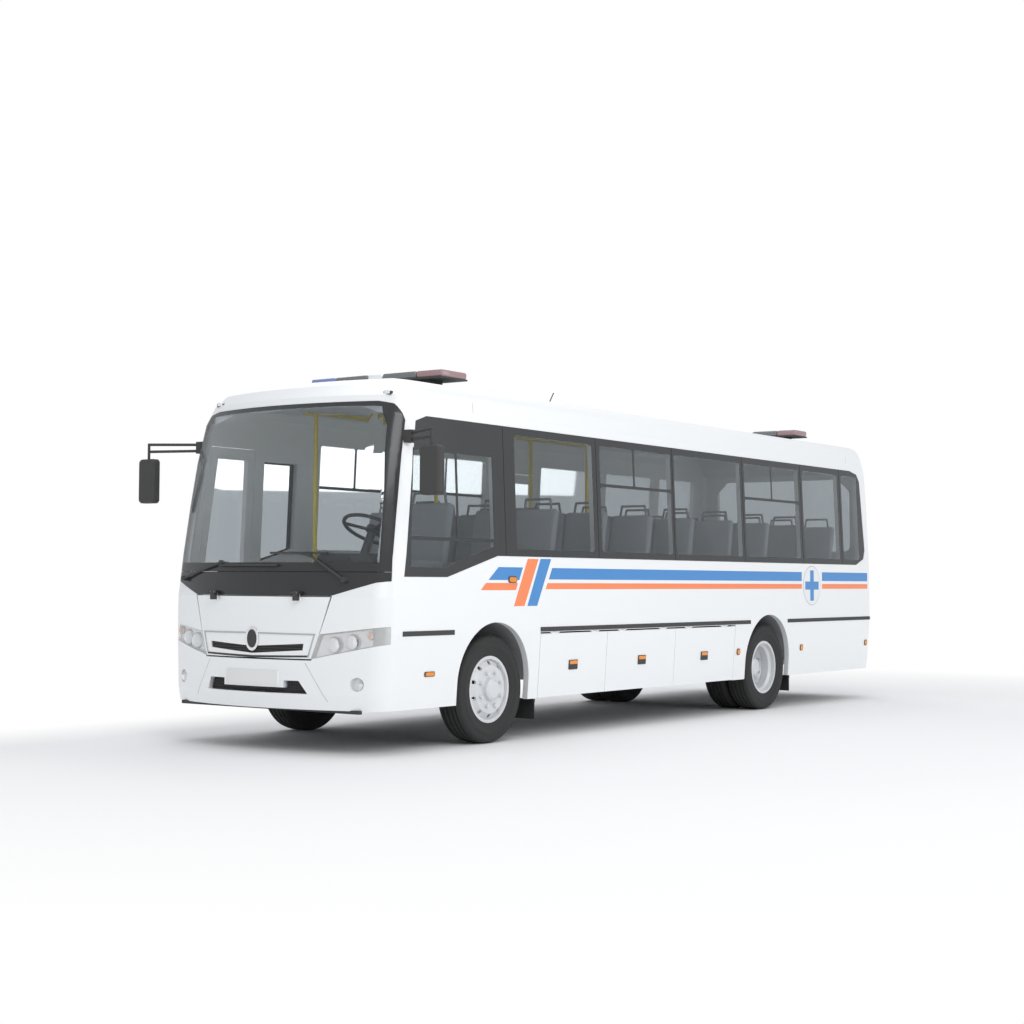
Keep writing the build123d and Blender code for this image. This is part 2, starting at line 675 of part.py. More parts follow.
def faceted(points: list[tuple[float, float]], centre: tuple[float, float, float]) -> Solid:
    """A closed outline of (x, radius) points turned about the wheel's axis in flat facets."""
    cx, cy, cz = centre
    step = 360 / FACETS
    corner = 1 / cos(radians(step / 2))
    angles = [radians(step * (i + 0.5)) for i in range(FACETS)]
    rings = [
        [(cx + x, cy + r * corner * sin(a), cz - r * corner * cos(a)) for a in angles]
        for x, r in points
    ]
    faces = []
    for ring, after in zip(rings, rings[1:] + rings[:1]):
        for i in range(FACETS):
            j = (i + 1) % FACETS
            faces.append(Face(Wire.make_polygon([ring[i], ring[j], after[j], after[i]])))
    return Solid(Shell(faces))


def tyre(centre_x: float, axle_y: float) -> Solid:
    """A road tyre with chamfered shoulders and a bead on the rim."""
    w, r = TYRE_WIDTH / 2, TYRE_RADIUS
    bead = RIM_HALF - FLANGE - FIT
    half = [
        (bead, RIM_RADIUS - 14 + FIT),
        (bead, RIM_RADIUS + FIT),
        (RIM_HALF + 6, RIM_RADIUS + 3),
        (w, RIM_RADIUS + 85),
        (w - 5, r - 34),
        (w - 32, r),
    ]
    outline = half + [(-x, z) for x, z in reversed(half)]
    return faceted(outline, (centre_x, axle_y, HUB_Z))


def wheel_holes(centre: tuple[float, float, float], disc_x: float) -> list[Solid]:
    """The ring of hand holes through a wheel's disc."""
    hole = extrude(Plane.YZ * RegularPolygon(HAND_HOLE_RADIUS, 8), amount=35, both=True)
    x, y, z = centre
    step = 360 / HAND_HOLES
    return [
        Pos(x + disc_x, y, z) * Rot(step * i, 0, 0) * Pos(0, 0, HAND_HOLE_CIRCLE) * hole
        for i in range(HAND_HOLES)
    ]


def wheel_nuts(centre: tuple[float, float, float], disc_x: float) -> list[Solid]:
    """The nuts on a wheel's stud circle."""
    x, y, z = centre
    nut = extrude(Plane.YZ * RegularPolygon(17, 6), amount=13, both=True)
    step = 360 / STUDS
    return [
        Pos(x + disc_x + 10, y, z) * Rot(step * (i + 0.5), 0, 0) * Pos(0, 0, STUD_CIRCLE) * nut
        for i in range(STUDS)
    ]


def barrel_points() -> tuple[list, list]:
    """The rim barrel's outer line and inner line, as (x, radius) points."""
    f, r, t = RIM_HALF, RIM_RADIUS, BARREL_THICK
    outer = [(-f, r), (-f + FLANGE, r), (-f + FLANGE, r - 14), (-f + 46, r - 16), (-f + 62, r - 38)]
    outer += [(-x, z) for x, z in reversed(outer)]
    inner_right = [(f, r - 14 - t), (f - 38, r - 16 - t), (f - 58, r - 38 - t)]
    inner = inner_right + [(-x, z) for x, z in reversed(inner_right)]
    return outer, inner


def front_wheel(side: int) -> Solid:
    """The front wheel: barrel, disc dished outwards, hub and cap in one turned piece."""
    outer, inner = barrel_points()
    d, t, bore = FRONT_DISC_OUT, DISC_THICK, SPINDLE_RADIUS + FIT
    hub = HUB_RADIUS
    outline = outer + [inner[0]]
    outline += [(inner[1][0] + 10, inner[1][1] - 1), (d, 186), (d, hub - 10), (d - t, hub - 10)]
    outline += [(d - t, 182), (inner[1][0] - 4, inner[1][1] - 5)] + inner[2:]
    hub_outline = [(d, hub + 7), (d + 28, hub), (d + 42, hub - 22), (d + 42, 0), (d + 12, 0), (d + 12, bore)]
    hub_outline += [(-12, bore), (-12, hub - 10), (d - 40, hub - 10), (d - t, hub)]
    centre = (AXLE_X, FRONT_AXLE_Y, HUB_Z)
    body = faceted(outline, centre) - wheel_holes(centre, (d + inner[1][0]) / 2)
    body = body + spun(hub_outline, centre) + wheel_nuts(centre, d)
    return body if side > 0 else mirrored(body)


def rear_wheels(side: int) -> Solid:
    """The twin rear wheels, bolted disc to disc on one hub."""
    outer, inner = barrel_points()
    half_pitch, t = TWIN_PITCH / 2, DISC_THICK
    d = -half_pitch + t
    hub, bore = HUB_RADIUS, REAR_SPINDLE_RADIUS + FIT
    dish = outer + inner[:4]
    dish += [(inner[3][0] - 14, inner[3][1] + 9), (d, 186), (d, hub - 6), (d - t, hub - 6), (d - t, 194)]
    dish += [(inner[4][0] - 14, inner[4][1] - 1)] + [inner[5]]
    centre = (AXLE_X, REAR_AXLE_Y, HUB_Z)
    body = faceted(dish, centre) - wheel_holes(centre, (d + inner[4][0]) / 2 - t / 2)
    twin_x = AXLE_X - half_pitch
    twin = mirror(body, Plane.YZ.offset(twin_x))
    hub_outline = [(-96, bore), (-96, hub), (-6, hub), (-6, hub + 10), (6, hub + 10), (6, hub), (126, hub), (138, hub - 25), (138, 0)]
    hub_outline += [(110, 0), (110, bore)]
    hub_body = spun(hub_outline, (twin_x, REAR_AXLE_Y, HUB_Z))
    nuts = wheel_nuts(centre, d)
    both = body + twin + hub_body + nuts
    return both if side > 0 else mirrored(both)


def running_gear() -> dict:
    """Wheels, tyres, knuckles, axles and their springs."""
    out = {}
    for side, name in ((1, "left"), (-1, "right")):
        out["wheel_front_" + name] = front_wheel(side)
        tread = tyre(AXLE_X, FRONT_AXLE_Y)
        out["tyre_front_" + name] = tread if side > 0 else mirrored(tread)
        out["wheels_rear_" + name] = rear_wheels(side)
        pair = Compound(children=[tyre(AXLE_X, REAR_AXLE_Y), tyre(AXLE_X - TWIN_PITCH, REAR_AXLE_Y)])
        out["tyres_rear_" + name] = pair if side > 0 else mirrored(pair)
        out["knuckle_" + name] = knuckle() if side > 0 else mirrored(knuckle())
    out["front_axle"] = front_axle()
    out["rear_axle"] = rear_axle()
    return out


BOSS_RADIUS = 35.0
BOSS_HALF = 45.0
YOKE_GAP = 5.0
YOKE_ARM = 30.0
SPRING_THICK = 36.0
SPRING_REACH = 640.0
FRONT_RISE = 130.0
REAR_RISE = 95.0
SPRING_SEAT_Z = 395.0
EYE_RADIUS = 26.0
REAR_SEAT = 55.0
SHAFT_RADIUS = 38.0
SHAFT_Z = HUB_Z + 21.0
ENGINE_FRONT_Y = -3700.0
ENGINE_REAR_Y = -2865.0


def knuckle() -> Solid:
    """The left steering knuckle: yoke on the kingpin, and the wheel's spindle."""
    x, y, z = KINGPIN_X, FRONT_AXLE_Y, HUB_Z
    reach = BOSS_HALF + YOKE_GAP
    web_x = x + BOSS_RADIUS + 10
    body = block(web_x, web_x + 22, y - 48, y + 48, z - reach - YOKE_ARM, z + reach + YOKE_ARM)
    for low in (z + reach, z - reach - YOKE_ARM):
        mid = low + YOKE_ARM / 2
        body = body + Pos(x, y, mid) * Cylinder(BOSS_RADIUS, YOKE_ARM)
        body = body + block(x, web_x + 5, y - BOSS_RADIUS, y + BOSS_RADIUS, low, low + YOKE_ARM)
    body = body + Pos(x, y, z) * Cylinder(KINGPIN_RADIUS, 2 * reach + YOKE_ARM)
    tip = AXLE_X + FRONT_DISC_OUT + 6
    body = body + Pos((web_x + tip) / 2, y, z) * Rot(0, 90, 0) * Cylinder(SPINDLE_RADIUS, tip - web_x)
    return body


def leaf_spring(axle_y: float, seat_z: float, rise: float, sign: int) -> Solid:
    """A leaf pack over an axle, bowed up to an eye at each end."""
    x0 = sign * SPRING_X - SPRING_HALF
    reach, thick = SPRING_REACH, SPRING_THICK
    low = ThreePointArc((x0, axle_y - reach, seat_z + rise), (x0, axle_y, seat_z), (x0, axle_y + reach, seat_z + rise))
    top_z = seat_z + rise + 16
    high = ThreePointArc((x0, axle_y + reach, top_z), (x0, axle_y, seat_z + thick), (x0, axle_y - reach, top_z))
    ends = [Line(low @ 1, high @ 0), Line(high @ 1, low @ 0)]
    spring = extrude(make_face(Wire([low, ends[0], high, ends[1]])), amount=2 * SPRING_HALF, dir=(1, 0, 0))
    for end in (-reach, reach):
        eye = Pos(sign * SPRING_X, axle_y + end, seat_z + rise + 8) * Rot(0, 90, 0)
        spring = spring + eye * Cylinder(EYE_RADIUS, 2 * SPRING_HALF)
    clamp = block(x0 - 6, x0 + 2 * SPRING_HALF + 6, axle_y - 60, axle_y + 60, seat_z - 8, seat_z + thick + 14)
    return spring + clamp


def front_axle() -> Solid:
    """The dropped beam between the kingpins, with its springs."""
    y, z = FRONT_AXLE_Y, HUB_Z
    k, seat = KINGPIN_X, SPRING_SEAT_Z
    half = [(k, z + 36), (k - 70, z + 36), (k - 190, seat), (k - 215, seat - 80), (k - 95, z - 36), (k, z - 36)]
    top, bottom = half[:3], half[3:]
    outline = top + [(-x, h) for x, h in reversed(top)] + [(-x, h) for x, h in reversed(bottom)] + bottom
    body = front_view(outline, y - 32, y + 32)
    for side in (1, -1):
        body = body + Pos(side * k, y, z) * Cylinder(BOSS_RADIUS, 2 * BOSS_HALF)
        body = body - Pos(side * k, y, z) * Cylinder(KINGPIN_RADIUS + FIT, 3 * BOSS_HALF)
        body = body + leaf_spring(y, seat, FRONT_RISE, side)
    return body


def rear_axle() -> Solid:
    """The driven axle: tubes, differential housing and springs."""
    y, z = REAR_AXLE_Y, HUB_Z
    twin_x = AXLE_X - TWIN_PITCH / 2
    body = Pos(0, y, z) * Rot(0, 90, 0) * Cylinder(62, 2 * (twin_x - 102))
    body = body + Pos(0, y, z) * Rot(0, 90, 0) * Cylinder(REAR_SPINDLE_RADIUS, 2 * (twin_x + 104))
    body = body + Pos(0, y, z) * Sphere(165)
    body = body + Pos(0, y - 190, z) * Rot(90, 0, 0) * Cylinder(70, 120)
    for side in (1, -1):
        body = body + leaf_spring(y, z + REAR_SEAT, REAR_RISE, side)
    shaft_from = ENGINE_REAR_Y
    shaft_to = y - 190 - 60
    shaft = Pos(0, (shaft_from + shaft_to) / 2, SHAFT_Z) * Rot(90, 0, 0)
    body = body + shaft * Cylinder(SHAFT_RADIUS, shaft_to - shaft_from)
    return body


# Frame, floor and what hangs under it
RAIL_FRONT_Y = -4180.0
RAIL_REAR_Y = 4150.0
BEARER_Y = (-4000.0, -3290.0, -2250.0, -1500.0, -760.0, 840.0, 1330.0, 2410.0, 3150.0, 3900.0)
CROSSMEMBER_Y = (-4120.0, -2200.0, -900.0, 500.0, 1250.0, 2500.0, 3400.0, 4100.0)
TOW_BORE = 20.0
TOW_HALF = 38.0
TOW_THICK = 30.0
TOW_SETBACK = 100.0
STEP_RISE = 200.0
STEP_SHEET = 12.0
DOORWELL_X = -520.0
BOARD_JOINT = 2.0


def under_frame() -> dict:
    """Ladder frame with hangers, bearers, tow eyes and mud flaps, and the tanks on it."""
    out = {}
    foot = RAIL_TOP_Z - RAIL_HEIGHT
    x0, x1 = RAIL_INNER_X, RAIL_INNER_X + RAIL_WIDTH
    web = RAIL_WEB
    rail = block(x0, x1, RAIL_FRONT_Y, RAIL_REAR_Y, foot, RAIL_TOP_Z)
    rail = rail - block(x0 - 1, x1 - web, RAIL_FRONT_Y - 1, RAIL_REAR_Y + 1, foot + web, RAIL_TOP_Z - web)
    frame = Compound(children=rail.solids() + mirrored(rail).solids())
    members = []
    for y in CROSSMEMBER_Y:
        member = block(-x1 + web, x1 - web, y - 40, y + 40, foot + 20, foot + 150)
        members.append(member - block(-x1, x1, y - 30, y + 41, foot + 30, foot + 140))
    reach = hull(WALL + FIT)
    floor_low = FLOOR_TOP_Z - FLOOR_THICK
    beams = []
    for y in BEARER_Y:
        low_x = DOORWELL_X + 40 if y < FRONT_AXLE_Y else -1300
        beam = block(low_x, 1300, y - 25, y + 25, RAIL_TOP_Z, floor_low) & reach
        beams.append(beam)
    out["cross_bearers"] = Compound(children=[s for one in members + beams for s in one.solids()])
    springs = ((FRONT_AXLE_Y, SPRING_SEAT_Z + FRONT_RISE), (REAR_AXLE_Y, HUB_Z + REAR_SEAT + REAR_RISE))
    for axle_y, eye_z in springs:
        eye_top = eye_z + 8 + EYE_RADIUS + FIT
        for end in (-SPRING_REACH, SPRING_REACH):
            for side in (1, -1):
                x = side * SPRING_X
                hanger = block(x - 26, x + 26, axle_y + end - 40, axle_y + end + 40, eye_top, foot + 20)
                frame = frame + hanger
    for side in (1, -1):
        x = side * (RAIL_INNER_X - TOW_HALF + 10)
        for y, inward in ((RAIL_FRONT_Y, 1), (RAIL_REAR_Y, -1)):
            bore_y = y + inward * TOW_SETBACK
            lug = block(x - TOW_HALF, x + TOW_HALF, bore_y - TOW_HALF, bore_y + TOW_HALF, foot - TOW_THICK, foot)
            lug = lug + block(x - TOW_HALF, x + TOW_HALF, bore_y - TOW_HALF, bore_y + TOW_HALF, foot, foot + 10)
            frame = frame + (lug - Pos(x, bore_y, foot) * Cylinder(TOW_BORE, 3 * TOW_THICK))
    out["frame_rails"] = Compound(children=frame.solids())

    # Floor boards in sections, cut away at the two door wells
    wells = [(door[0] + 30, door[1] + 10) for door in (FRONT_DOOR_Y, MID_DOOR_Y)]
    edges = [NOSE_Y + 250, *wells[0], *wells[1], TAIL_Y - 60]
    boards = []
    for front, rear in zip(edges, edges[1:]):
        low_x = DOORWELL_X if (front, rear) in wells else -1300
        rear_joint = BOARD_JOINT if rear < edges[-1] else 0
        boards.append(block(low_x, 1300, front, rear - rear_joint, floor_low, FLOOR_TOP_Z) & reach)

    # Door steps: two treads between cheek plates
    sheet = STEP_SHEET
    outer_x = -(half_width_at(DOOR_FOOT_Z) - WALL - 14)
    tread_x = (DOORWELL_X + outer_x) / 2
    riser_x = DOORWELL_X + sheet
    low_z, high_z, top_z = DOOR_FOOT_Z + 35, DOOR_FOOT_Z + 35 + STEP_RISE * 1.5, floor_low - FIT
    treads = [
        (outer_x, low_z),
        (tread_x, low_z),
        (tread_x, high_z),
        (DOORWELL_X, high_z),
        (DOORWELL_X, top_z),
        (riser_x, top_z),
        (riser_x, high_z - sheet),
        (tread_x + sheet, high_z - sheet),
        (tread_x + sheet, low_z - sheet),
        (outer_x, low_z - sheet),
    ]
    cheek = [(outer_x, low_z - sheet), (tread_x + sheet, low_z - sheet), (riser_x, high_z - 80), (riser_x, top_z)]
    cheek += [(DOORWELL_X - FIT, top_z), (DOORWELL_X - FIT, FLOOR_TOP_Z), (outer_x, FLOOR_TOP_Z)]
    steps = []
    for front, rear in wells:
        rear -= BOARD_JOINT
        one = front_view(treads, front + 2, rear - 2)
        for a in (front + FIT, rear - sheet):
            one = one + front_view(cheek, a, a + sheet - FIT)
        steps += one.solids()
    out["door_steps"] = Compound(children=steps)

    # Arch liners between the outer walls and the frame, up to the floor
    for axle_y in (FRONT_ARCH_Y, REAR_ARCH_Y):
        disc = Cylinder(LINER_RADIUS + LINER_THICK, 2600) - Cylinder(LINER_RADIUS, 2601)
        ring = Pos(0, axle_y, ARCH_Z) * Rot(0, 90, 0) * disc
        ring = ring & block(-1300, 1300, axle_y - 600, axle_y + 600, ARCH_Z, floor_low - FIT)
        boards += ((ring & reach) - block(-480, 480, axle_y - 900, axle_y + 900, 0, 1300)).solids()
    out["floor"] = Compound(children=[s for board in boards for s in board.solids()])
    return out


# Fittings outside
RAIL_STRIP_Z = (858.0, 895.0)
RAIL_STRIP_THICK = 6.0
LEFT_STRIPS = [(-3950.0, -3334.0), (-2192.0, 1420.0), (2221.0, 4236.0)]
RIGHT_STRIPS = [(-2192.0, -74.0), (784.0, 1420.0), (2221.0, 4236.0)]
LIGHT_BARS = [  # (half length, front, rear, foot, top)
    (690.0, -3003.0, -2650.0, 2862.0, 2931.0),
    (600.0, 3400.0, 3700.0, 2858.0, 2931.0),
]
MIRROR_HEAD = (1448.0, -4077.0, 2049.0)
MIRROR_SIZE = (180.0, 70.0, 356.0)
MIRROR_FOOT_Y = (-3890.0, -3828.0)
MIRROR_FOOT_Z = (2272.0, 2366.0)
ARM_RADIUS = 11.0
WIPERS = [  # (pivot, elbow, where the arm meets the blade, blade's x ends, blade's z)
    ((784.0, 1268.0), (505.0, 1443.0), 400.0, (144.0, 634.0), 1462.0),
    ((-889.0, 1272.0), (-368.0, 1396.0), -160.0, (-400.0, 221.0), 1372.0),
]
FLAP_SHEETS = [  # (y, inner x, outer x, foot, top)
    (FRONT_AXLE_Y + 578.0, 760.0, 1040.0, 153.0, 316.0),
    (REAR_AXLE_Y + 528.0, 560.0, 1030.0, 159.0, 316.0),
]
TANKS = [  # (side, front, rear, inner x, outer x, foot, top)
    (1, -1050.0, -150.0, 560.0, 1000.0, 380.0, 760.0),
    (-1, -1900.0, -1200.0, 560.0, 1000.0, 420.0, 760.0),
]
ENGINE_HALF = 330.0
ENGINE_Z = (390.0, 800.0)


def rod(a: tuple, b: tuple, radius: float) -> Solid:
    """A round bar between two points."""
    start, end = Vector(*a), Vector(*b)
    return Solid.make_cylinder(radius, (end - start).length, Plane(origin=start, z_dir=end - start))


def nose_y_at(x: float, z: float) -> float:
    """Where the nose's outer face lies at a place in front view."""
    for (za, back_a, _), (zb, back_b, _) in zip(END_PROFILE, END_PROFILE[1:]):
        if za <= z <= zb:
            back = back_a + (z - za) * (back_b - back_a) / (zb - za)
    return NOSE_Y + back + NOSE_RADIUS - sqrt(NOSE_RADIUS**2 - x * x)


def rub_rails() -> Compound:
    """The dark rub rails along both sides."""
    strips = []
    low, high = RAIL_STRIP_Z
    for side, runs in ((1, LEFT_STRIPS), (-1, RIGHT_STRIPS)):
        for front, rear in runs:
            inner, outer = HALF_WIDTH + FIT, HALF_WIDTH + RAIL_STRIP_THICK
            strip = block(side * inner, side * outer, front, rear, low, high)
            face = strip.faces().sort_by(Axis.X)[-1 if side > 0 else 0]
            strips.append(chamfer(face.edges(), 3.5))
    return Compound(children=[s for strip in strips for s in strip.solids()])


def light_bars(outer: Solid) -> Compound:
    """The two beacon bars on the roof, each on two feet."""
    bars = []
    roof = Pos(0, 0, FIT) * outer
    for half, front, rear, foot, top in LIGHT_BARS:
        bar = block(-half, half, front, rear, foot, top)
        bar = fillet(bar.edges().filter_by(Axis.Z), 60)
        bar = chamfer(bar.faces().sort_by(Axis.Z)[-1].edges(), 16)
        depth = (rear - front) / 2
        middle = (front + rear) / 2
        for x in (-0.65 * half, 0.65 * half):
            leg = block(x - 45, x + 45, middle - depth * 0.6, middle + depth * 0.6, foot - 100, foot)
            bar = bar + (leg - roof)
        bars.append(bar)
    return Compound(children=[s for bar in bars for s in bar.solids()])


def mirrors(outer: Solid) -> Compound:
    """The outside mirrors: a foot on the front pillar, two arms and the head."""
    x, y, z = MIRROR_HEAD
    w, d, h = MIRROR_SIZE
    head = block(x - w / 2, x + w / 2, y - d / 2, y + d / 2, z - h / 2, z + h / 2)
    head = fillet(head.edges().filter_by(Axis.Y), 34)
    head = fillet(head.faces().sort_by(Axis.Y)[0].edges(), 24)
    foot = block(HALF_WIDTH - 150, HALF_WIDTH + 12, *MIRROR_FOOT_Y, *MIRROR_FOOT_Z)
    foot = foot - Pos(FIT, -FIT, 0) * outer
    foot_x, foot_y = HALF_WIDTH, sum(MIRROR_FOOT_Y) / 2
    top, low = MIRROR_FOOT_Z[1] - 22, MIRROR_FOOT_Z[0] + 22
    stem = z + h / 2 + 60
    body = head + foot
    body = body + rod((foot_x, foot_y, top), (x, y, top), ARM_RADIUS)
    body = body + rod((foot_x, foot_y, low), (x, y, stem), ARM_RADIUS)
    body = body + rod((x, y, z), (x, y, top), ARM_RADIUS)
    for point in ((x, y, top), (x, y, stem)):
        body = body + Pos(*point) * Sphere(ARM_RADIUS + 1)
    return Compound(children=body.solids() + mirrored(body).solids())


def wipers(outer: Solid) -> Compound:
    """The two wipers: a boss on the cowl, a bent arm and a blade before the glass."""
    skin = Pos(0, -FIT, 0) * outer
    both = []
    for (pivot_x, pivot_z), (elbow_x, elbow_z), meet_x, (blade_a, blade_b), blade_z in WIPERS:
        pivot_y = nose_y_at(pivot_x, pivot_z)
        boss = Pos(pivot_x, pivot_y - 12, pivot_z) * Rot(90, 0, 0) * Cylinder(19, 60)
        start = (pivot_x, pivot_y - 30, pivot_z)
        elbow = (elbow_x, nose_y_at(elbow_x, elbow_z) - 28, elbow_z)
        plan_y = nose_y_at(0, blade_z) + NOSE_RADIUS
        meet = (meet_x, nose_y_at(meet_x, blade_z) - 20, blade_z)
        ring = Cylinder(NOSE_RADIUS + 26, 16) - Cylinder(NOSE_RADIUS + 10, 17)
        blade = Pos(0, plan_y, blade_z) * ring & block(blade_a, blade_b, NOSE_Y - 60, NOSE_Y + 400, 1000, 2000)
        wiper = boss - skin
        joint = (elbow[0], elbow[1], elbow[2])
        wiper = wiper + rod(start, joint, 9)
        wiper = wiper + Pos(*joint) * Box(26, 22, 26)
        wiper = wiper + rod(joint, meet, 8)
        wiper = wiper + blade
        both.append(wiper)
    return Compound(children=[s for wiper in both for s in wiper.solids()])


def mud_flaps() -> Compound:
    """Mud flaps behind the wheels, each hung from the frame by a bracket."""
    rail_x = RAIL_INNER_X + RAIL_WIDTH
    sheets = []
    for y, inner, outer, foot, top in FLAP_SHEETS:
        sheet = block(inner, outer, y - 4, y + 4, foot, top)
        bar = block(rail_x + 6, outer, y - 10, y + 10, top - 30, top)
        drop = block(rail_x + 6, rail_x + 30, y - 10, y + 10, top - 30, RAIL_TOP_Z - 100)
        seat = block(rail_x, rail_x + 30, y - 10, y + 10, RAIL_TOP_Z - 180, RAIL_TOP_Z - 100)
        sheets.append(sheet + bar + drop + seat)
    every = sheets + [mirrored(sheet) for sheet in sheets]
    return Compound(children=[s for sheet in every for s in sheet.solids()])


def tanks() -> Compound:
    """The fuel tank and the battery box, each on two arms from the frame."""
    rail_x = RAIL_INNER_X + RAIL_WIDTH
    every = []
    for side, front, rear, inner, outer, foot, top in TANKS:
        tank = block(side * inner, side * outer, front, rear, foot, top)
        tank = fillet(tank.edges().filter_by(Axis.Y), 50)
        for share in (0.2, 0.8):
            y = front + share * (rear - front)
            arm = block(side * rail_x, side * (inner + 60), y - 25, y + 25, RAIL_TOP_Z - 190, RAIL_TOP_Z - 120)
            tank = tank + arm
        every.append(tank)
    return Compound(children=[s for tank in every for s in tank.solids()])


def engine_block() -> Solid:
    """The engine as one plain block, on mounts inside the rails."""
    low, high = ENGINE_Z
    half = ENGINE_HALF
    body = block(-half, half, ENGINE_FRONT_Y, ENGINE_REAR_Y, low, high)
    web_x = RAIL_INNER_X + RAIL_WIDTH - RAIL_WEB
    for share in (0.2, 0.8):
        y = ENGINE_FRONT_Y + share * (ENGINE_REAR_Y - ENGINE_FRONT_Y)
        body = body + block(-web_x, web_x, y - 35, y + 35, RAIL_TOP_Z - 150, RAIL_TOP_Z - 80)
    return body


# Fittings inside
SEAT_PITCH = 760.0
SEAT_FRONT_Y = -2360.0
SEAT_ROWS = 8
SEAT_X = (165.0, 1010.0)
SEAT_Z = FLOOR_TOP_Z + 440.0
SEAT_BACK_Z = FLOOR_TOP_Z + 885.0
SEAT_DEPTH = 430.0
SEAT_THICK = 110.0
DRIVER_X = (430.0, 910.0)
DRIVER_Y = -3230.0
WHEEL_CENTRE = (670.0, -3790.0, 1640.0)
WHEEL_RADIUS = 225.0
WHEEL_TILT = 28.0
DASH_X = (-500.0, 1040.0)
DASH_REAR_Y = -3890.0
POLES = [
    (-440.0, -3200.0),
    (-440.0, -150.0),
    (-440.0, 860.0),
    (200.0, -2430.0),
    (200.0, -150.0),
    (200.0, 1370.0),
    (200.0, 2890.0),
]
POLE_RADIUS = 17.0
POLE_RAIL_Z = 2620.0


def seat(x0: float, x1: float, front: float) -> Solid:
    """A seat with its back, on a sheet leg at each side, facing the nose."""
    profile = [
        (front, SEAT_Z - SEAT_THICK),
        (front, SEAT_Z),
        (front + SEAT_DEPTH, SEAT_Z - 20),
        (front + SEAT_DEPTH + 90, SEAT_BACK_Z),
        (front + SEAT_DEPTH + 160, SEAT_BACK_Z),
        (front + SEAT_DEPTH + 90, SEAT_Z - SEAT_THICK),
    ]
    body = fillet(side_view(profile, x0, x1).edges().filter_by(Axis.X), 24)
    for x in (x0 + 60, x1 - 100):
        body = body + block(x, x + 40, front + 90, front + SEAT_DEPTH - 20, FLOOR_TOP_Z, SEAT_Z - SEAT_THICK + 30)
    return body


def seats() -> Compound:
    """Rows of double seats, and the driver's seat."""
    x0, x1 = SEAT_X
    every = [seat(*DRIVER_X, DRIVER_Y - SEAT_DEPTH)]
    for row in range(SEAT_ROWS):
        front = SEAT_FRONT_Y + row * SEAT_PITCH
        every.append(seat(x0, x1, front))
        rear = front + SEAT_DEPTH + 160
        if rear < MID_DOOR_Y[0] - 60 or front > MID_DOOR_Y[1] + 60:
            every.append(seat(-x1, -x0, front))
    return Compound(children=[s for one in every for s in one.solids()])


def dashboard(inner: Solid) -> Solid:
    """The dashboard with its binnacle, the steering column and the steering wheel."""
    rear = DASH_REAR_Y
    profile = [
        (NOSE_Y, FLOOR_TOP_Z),
        (rear - 120, FLOOR_TOP_Z),
        (rear - 60, FLOOR_TOP_Z + 260),
        (rear, FLOOR_TOP_Z + 300),
        (rear - 30, FLOOR_TOP_Z + 370),
        (NOSE_Y, FLOOR_TOP_Z + 340),
    ]
    body = side_view(profile, *DASH_X) & inner
    x, y, z = WHEEL_CENTRE
    hump = block(x - 260, x + 260, rear - 260, rear - 20, FLOOR_TOP_Z + 200, FLOOR_TOP_Z + 480)
    hump = chamfer(hump.edges().filter_by(Axis.Y).sort_by(Axis.Z)[-2:], 60)
    body = body + (hump & inner)
    tilt = radians(WHEEL_TILT)
    reach = 330.0
    foot = (x, y - reach * sin(tilt), z - reach * cos(tilt))
    body = body + rod((x, y, z), foot, 32)
    rim = Pos(x, y, z) * Rot(-WHEEL_TILT, 0, 0)
    wheel = Cylinder(WHEEL_RADIUS + 14, 24) - Cylinder(WHEEL_RADIUS - 14, 25)
    wheel = chamfer(wheel.edges().filter_by(GeomType.CIRCLE), 7)
    for angle in (90, 210, 330):
        wheel = wheel + Rot(0, 0, angle) * Pos(WHEEL_RADIUS / 2, 0, -4) * Box(WHEEL_RADIUS, 34, 12)
    wheel = wheel + Cylinder(50, 40)
    return body + rim * wheel


def grab_rails() -> Compound:
    """Upright grab poles joined by two rails under the roof."""
    body = None
    for x, y in POLES:
        pole = rod((x, y, FLOOR_TOP_Z), (x, y, POLE_RAIL_Z), POLE_RADIUS)
        body = pole if body is None else body + pole
    for x in sorted({x for x, _ in POLES}):
        places = [y for px, y in POLES if px == x]
        rail = rod((x, min(places) - 120, POLE_RAIL_Z), (x, max(places) + 120, POLE_RAIL_Z), POLE_RADIUS)
        body = body + rail
    return Compound(children=body.solids())


def fittings() -> dict:
    """All that is carried by the body and the frame."""
    outer = hull(0)
    inner = hull(WALL + FIT)
    return {
        "rub_rails": rub_rails(),
        "light_bars": light_bars(outer),
        "mirrors": mirrors(outer),
        "wipers": wipers(outer),
        "mud_flaps": mud_flaps(),
        "tanks": tanks(),
        "engine_block": engine_block(),
        "seats": seats(),
        "dashboard": dashboard(inner),
        "grab_rails": grab_rails(),
    }


def write_parts() -> None:
    """Write each piece of the bus to its own file."""
    os.makedirs("parts", exist_ok=True)
    pieces = {}
    for build in (panels, running_gear, under_frame, fittings):
        pieces.update(build())
    for name, shape in pieces.items():
        solids = shape.solids()
        whole = Compound(children=solids) if len(solids) > 1 else solids[0]
        whole.label = name
        export_step(whole, f"parts/{name}.step")


if __name__ == "__main__":
    write_parts()
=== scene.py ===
"""Looks of the medical bus: finishes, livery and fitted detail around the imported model.

Frame: metres, X to the bus's left, Y to its rear, Z up, origin on the ground.
"""

import logging
from collections.abc import Iterable, Sequence
from dataclasses import dataclass, field
from enum import Enum
from math import cos, pi, radians, sin, sqrt

import bmesh
import bpy
from mathutils import Matrix, Vector

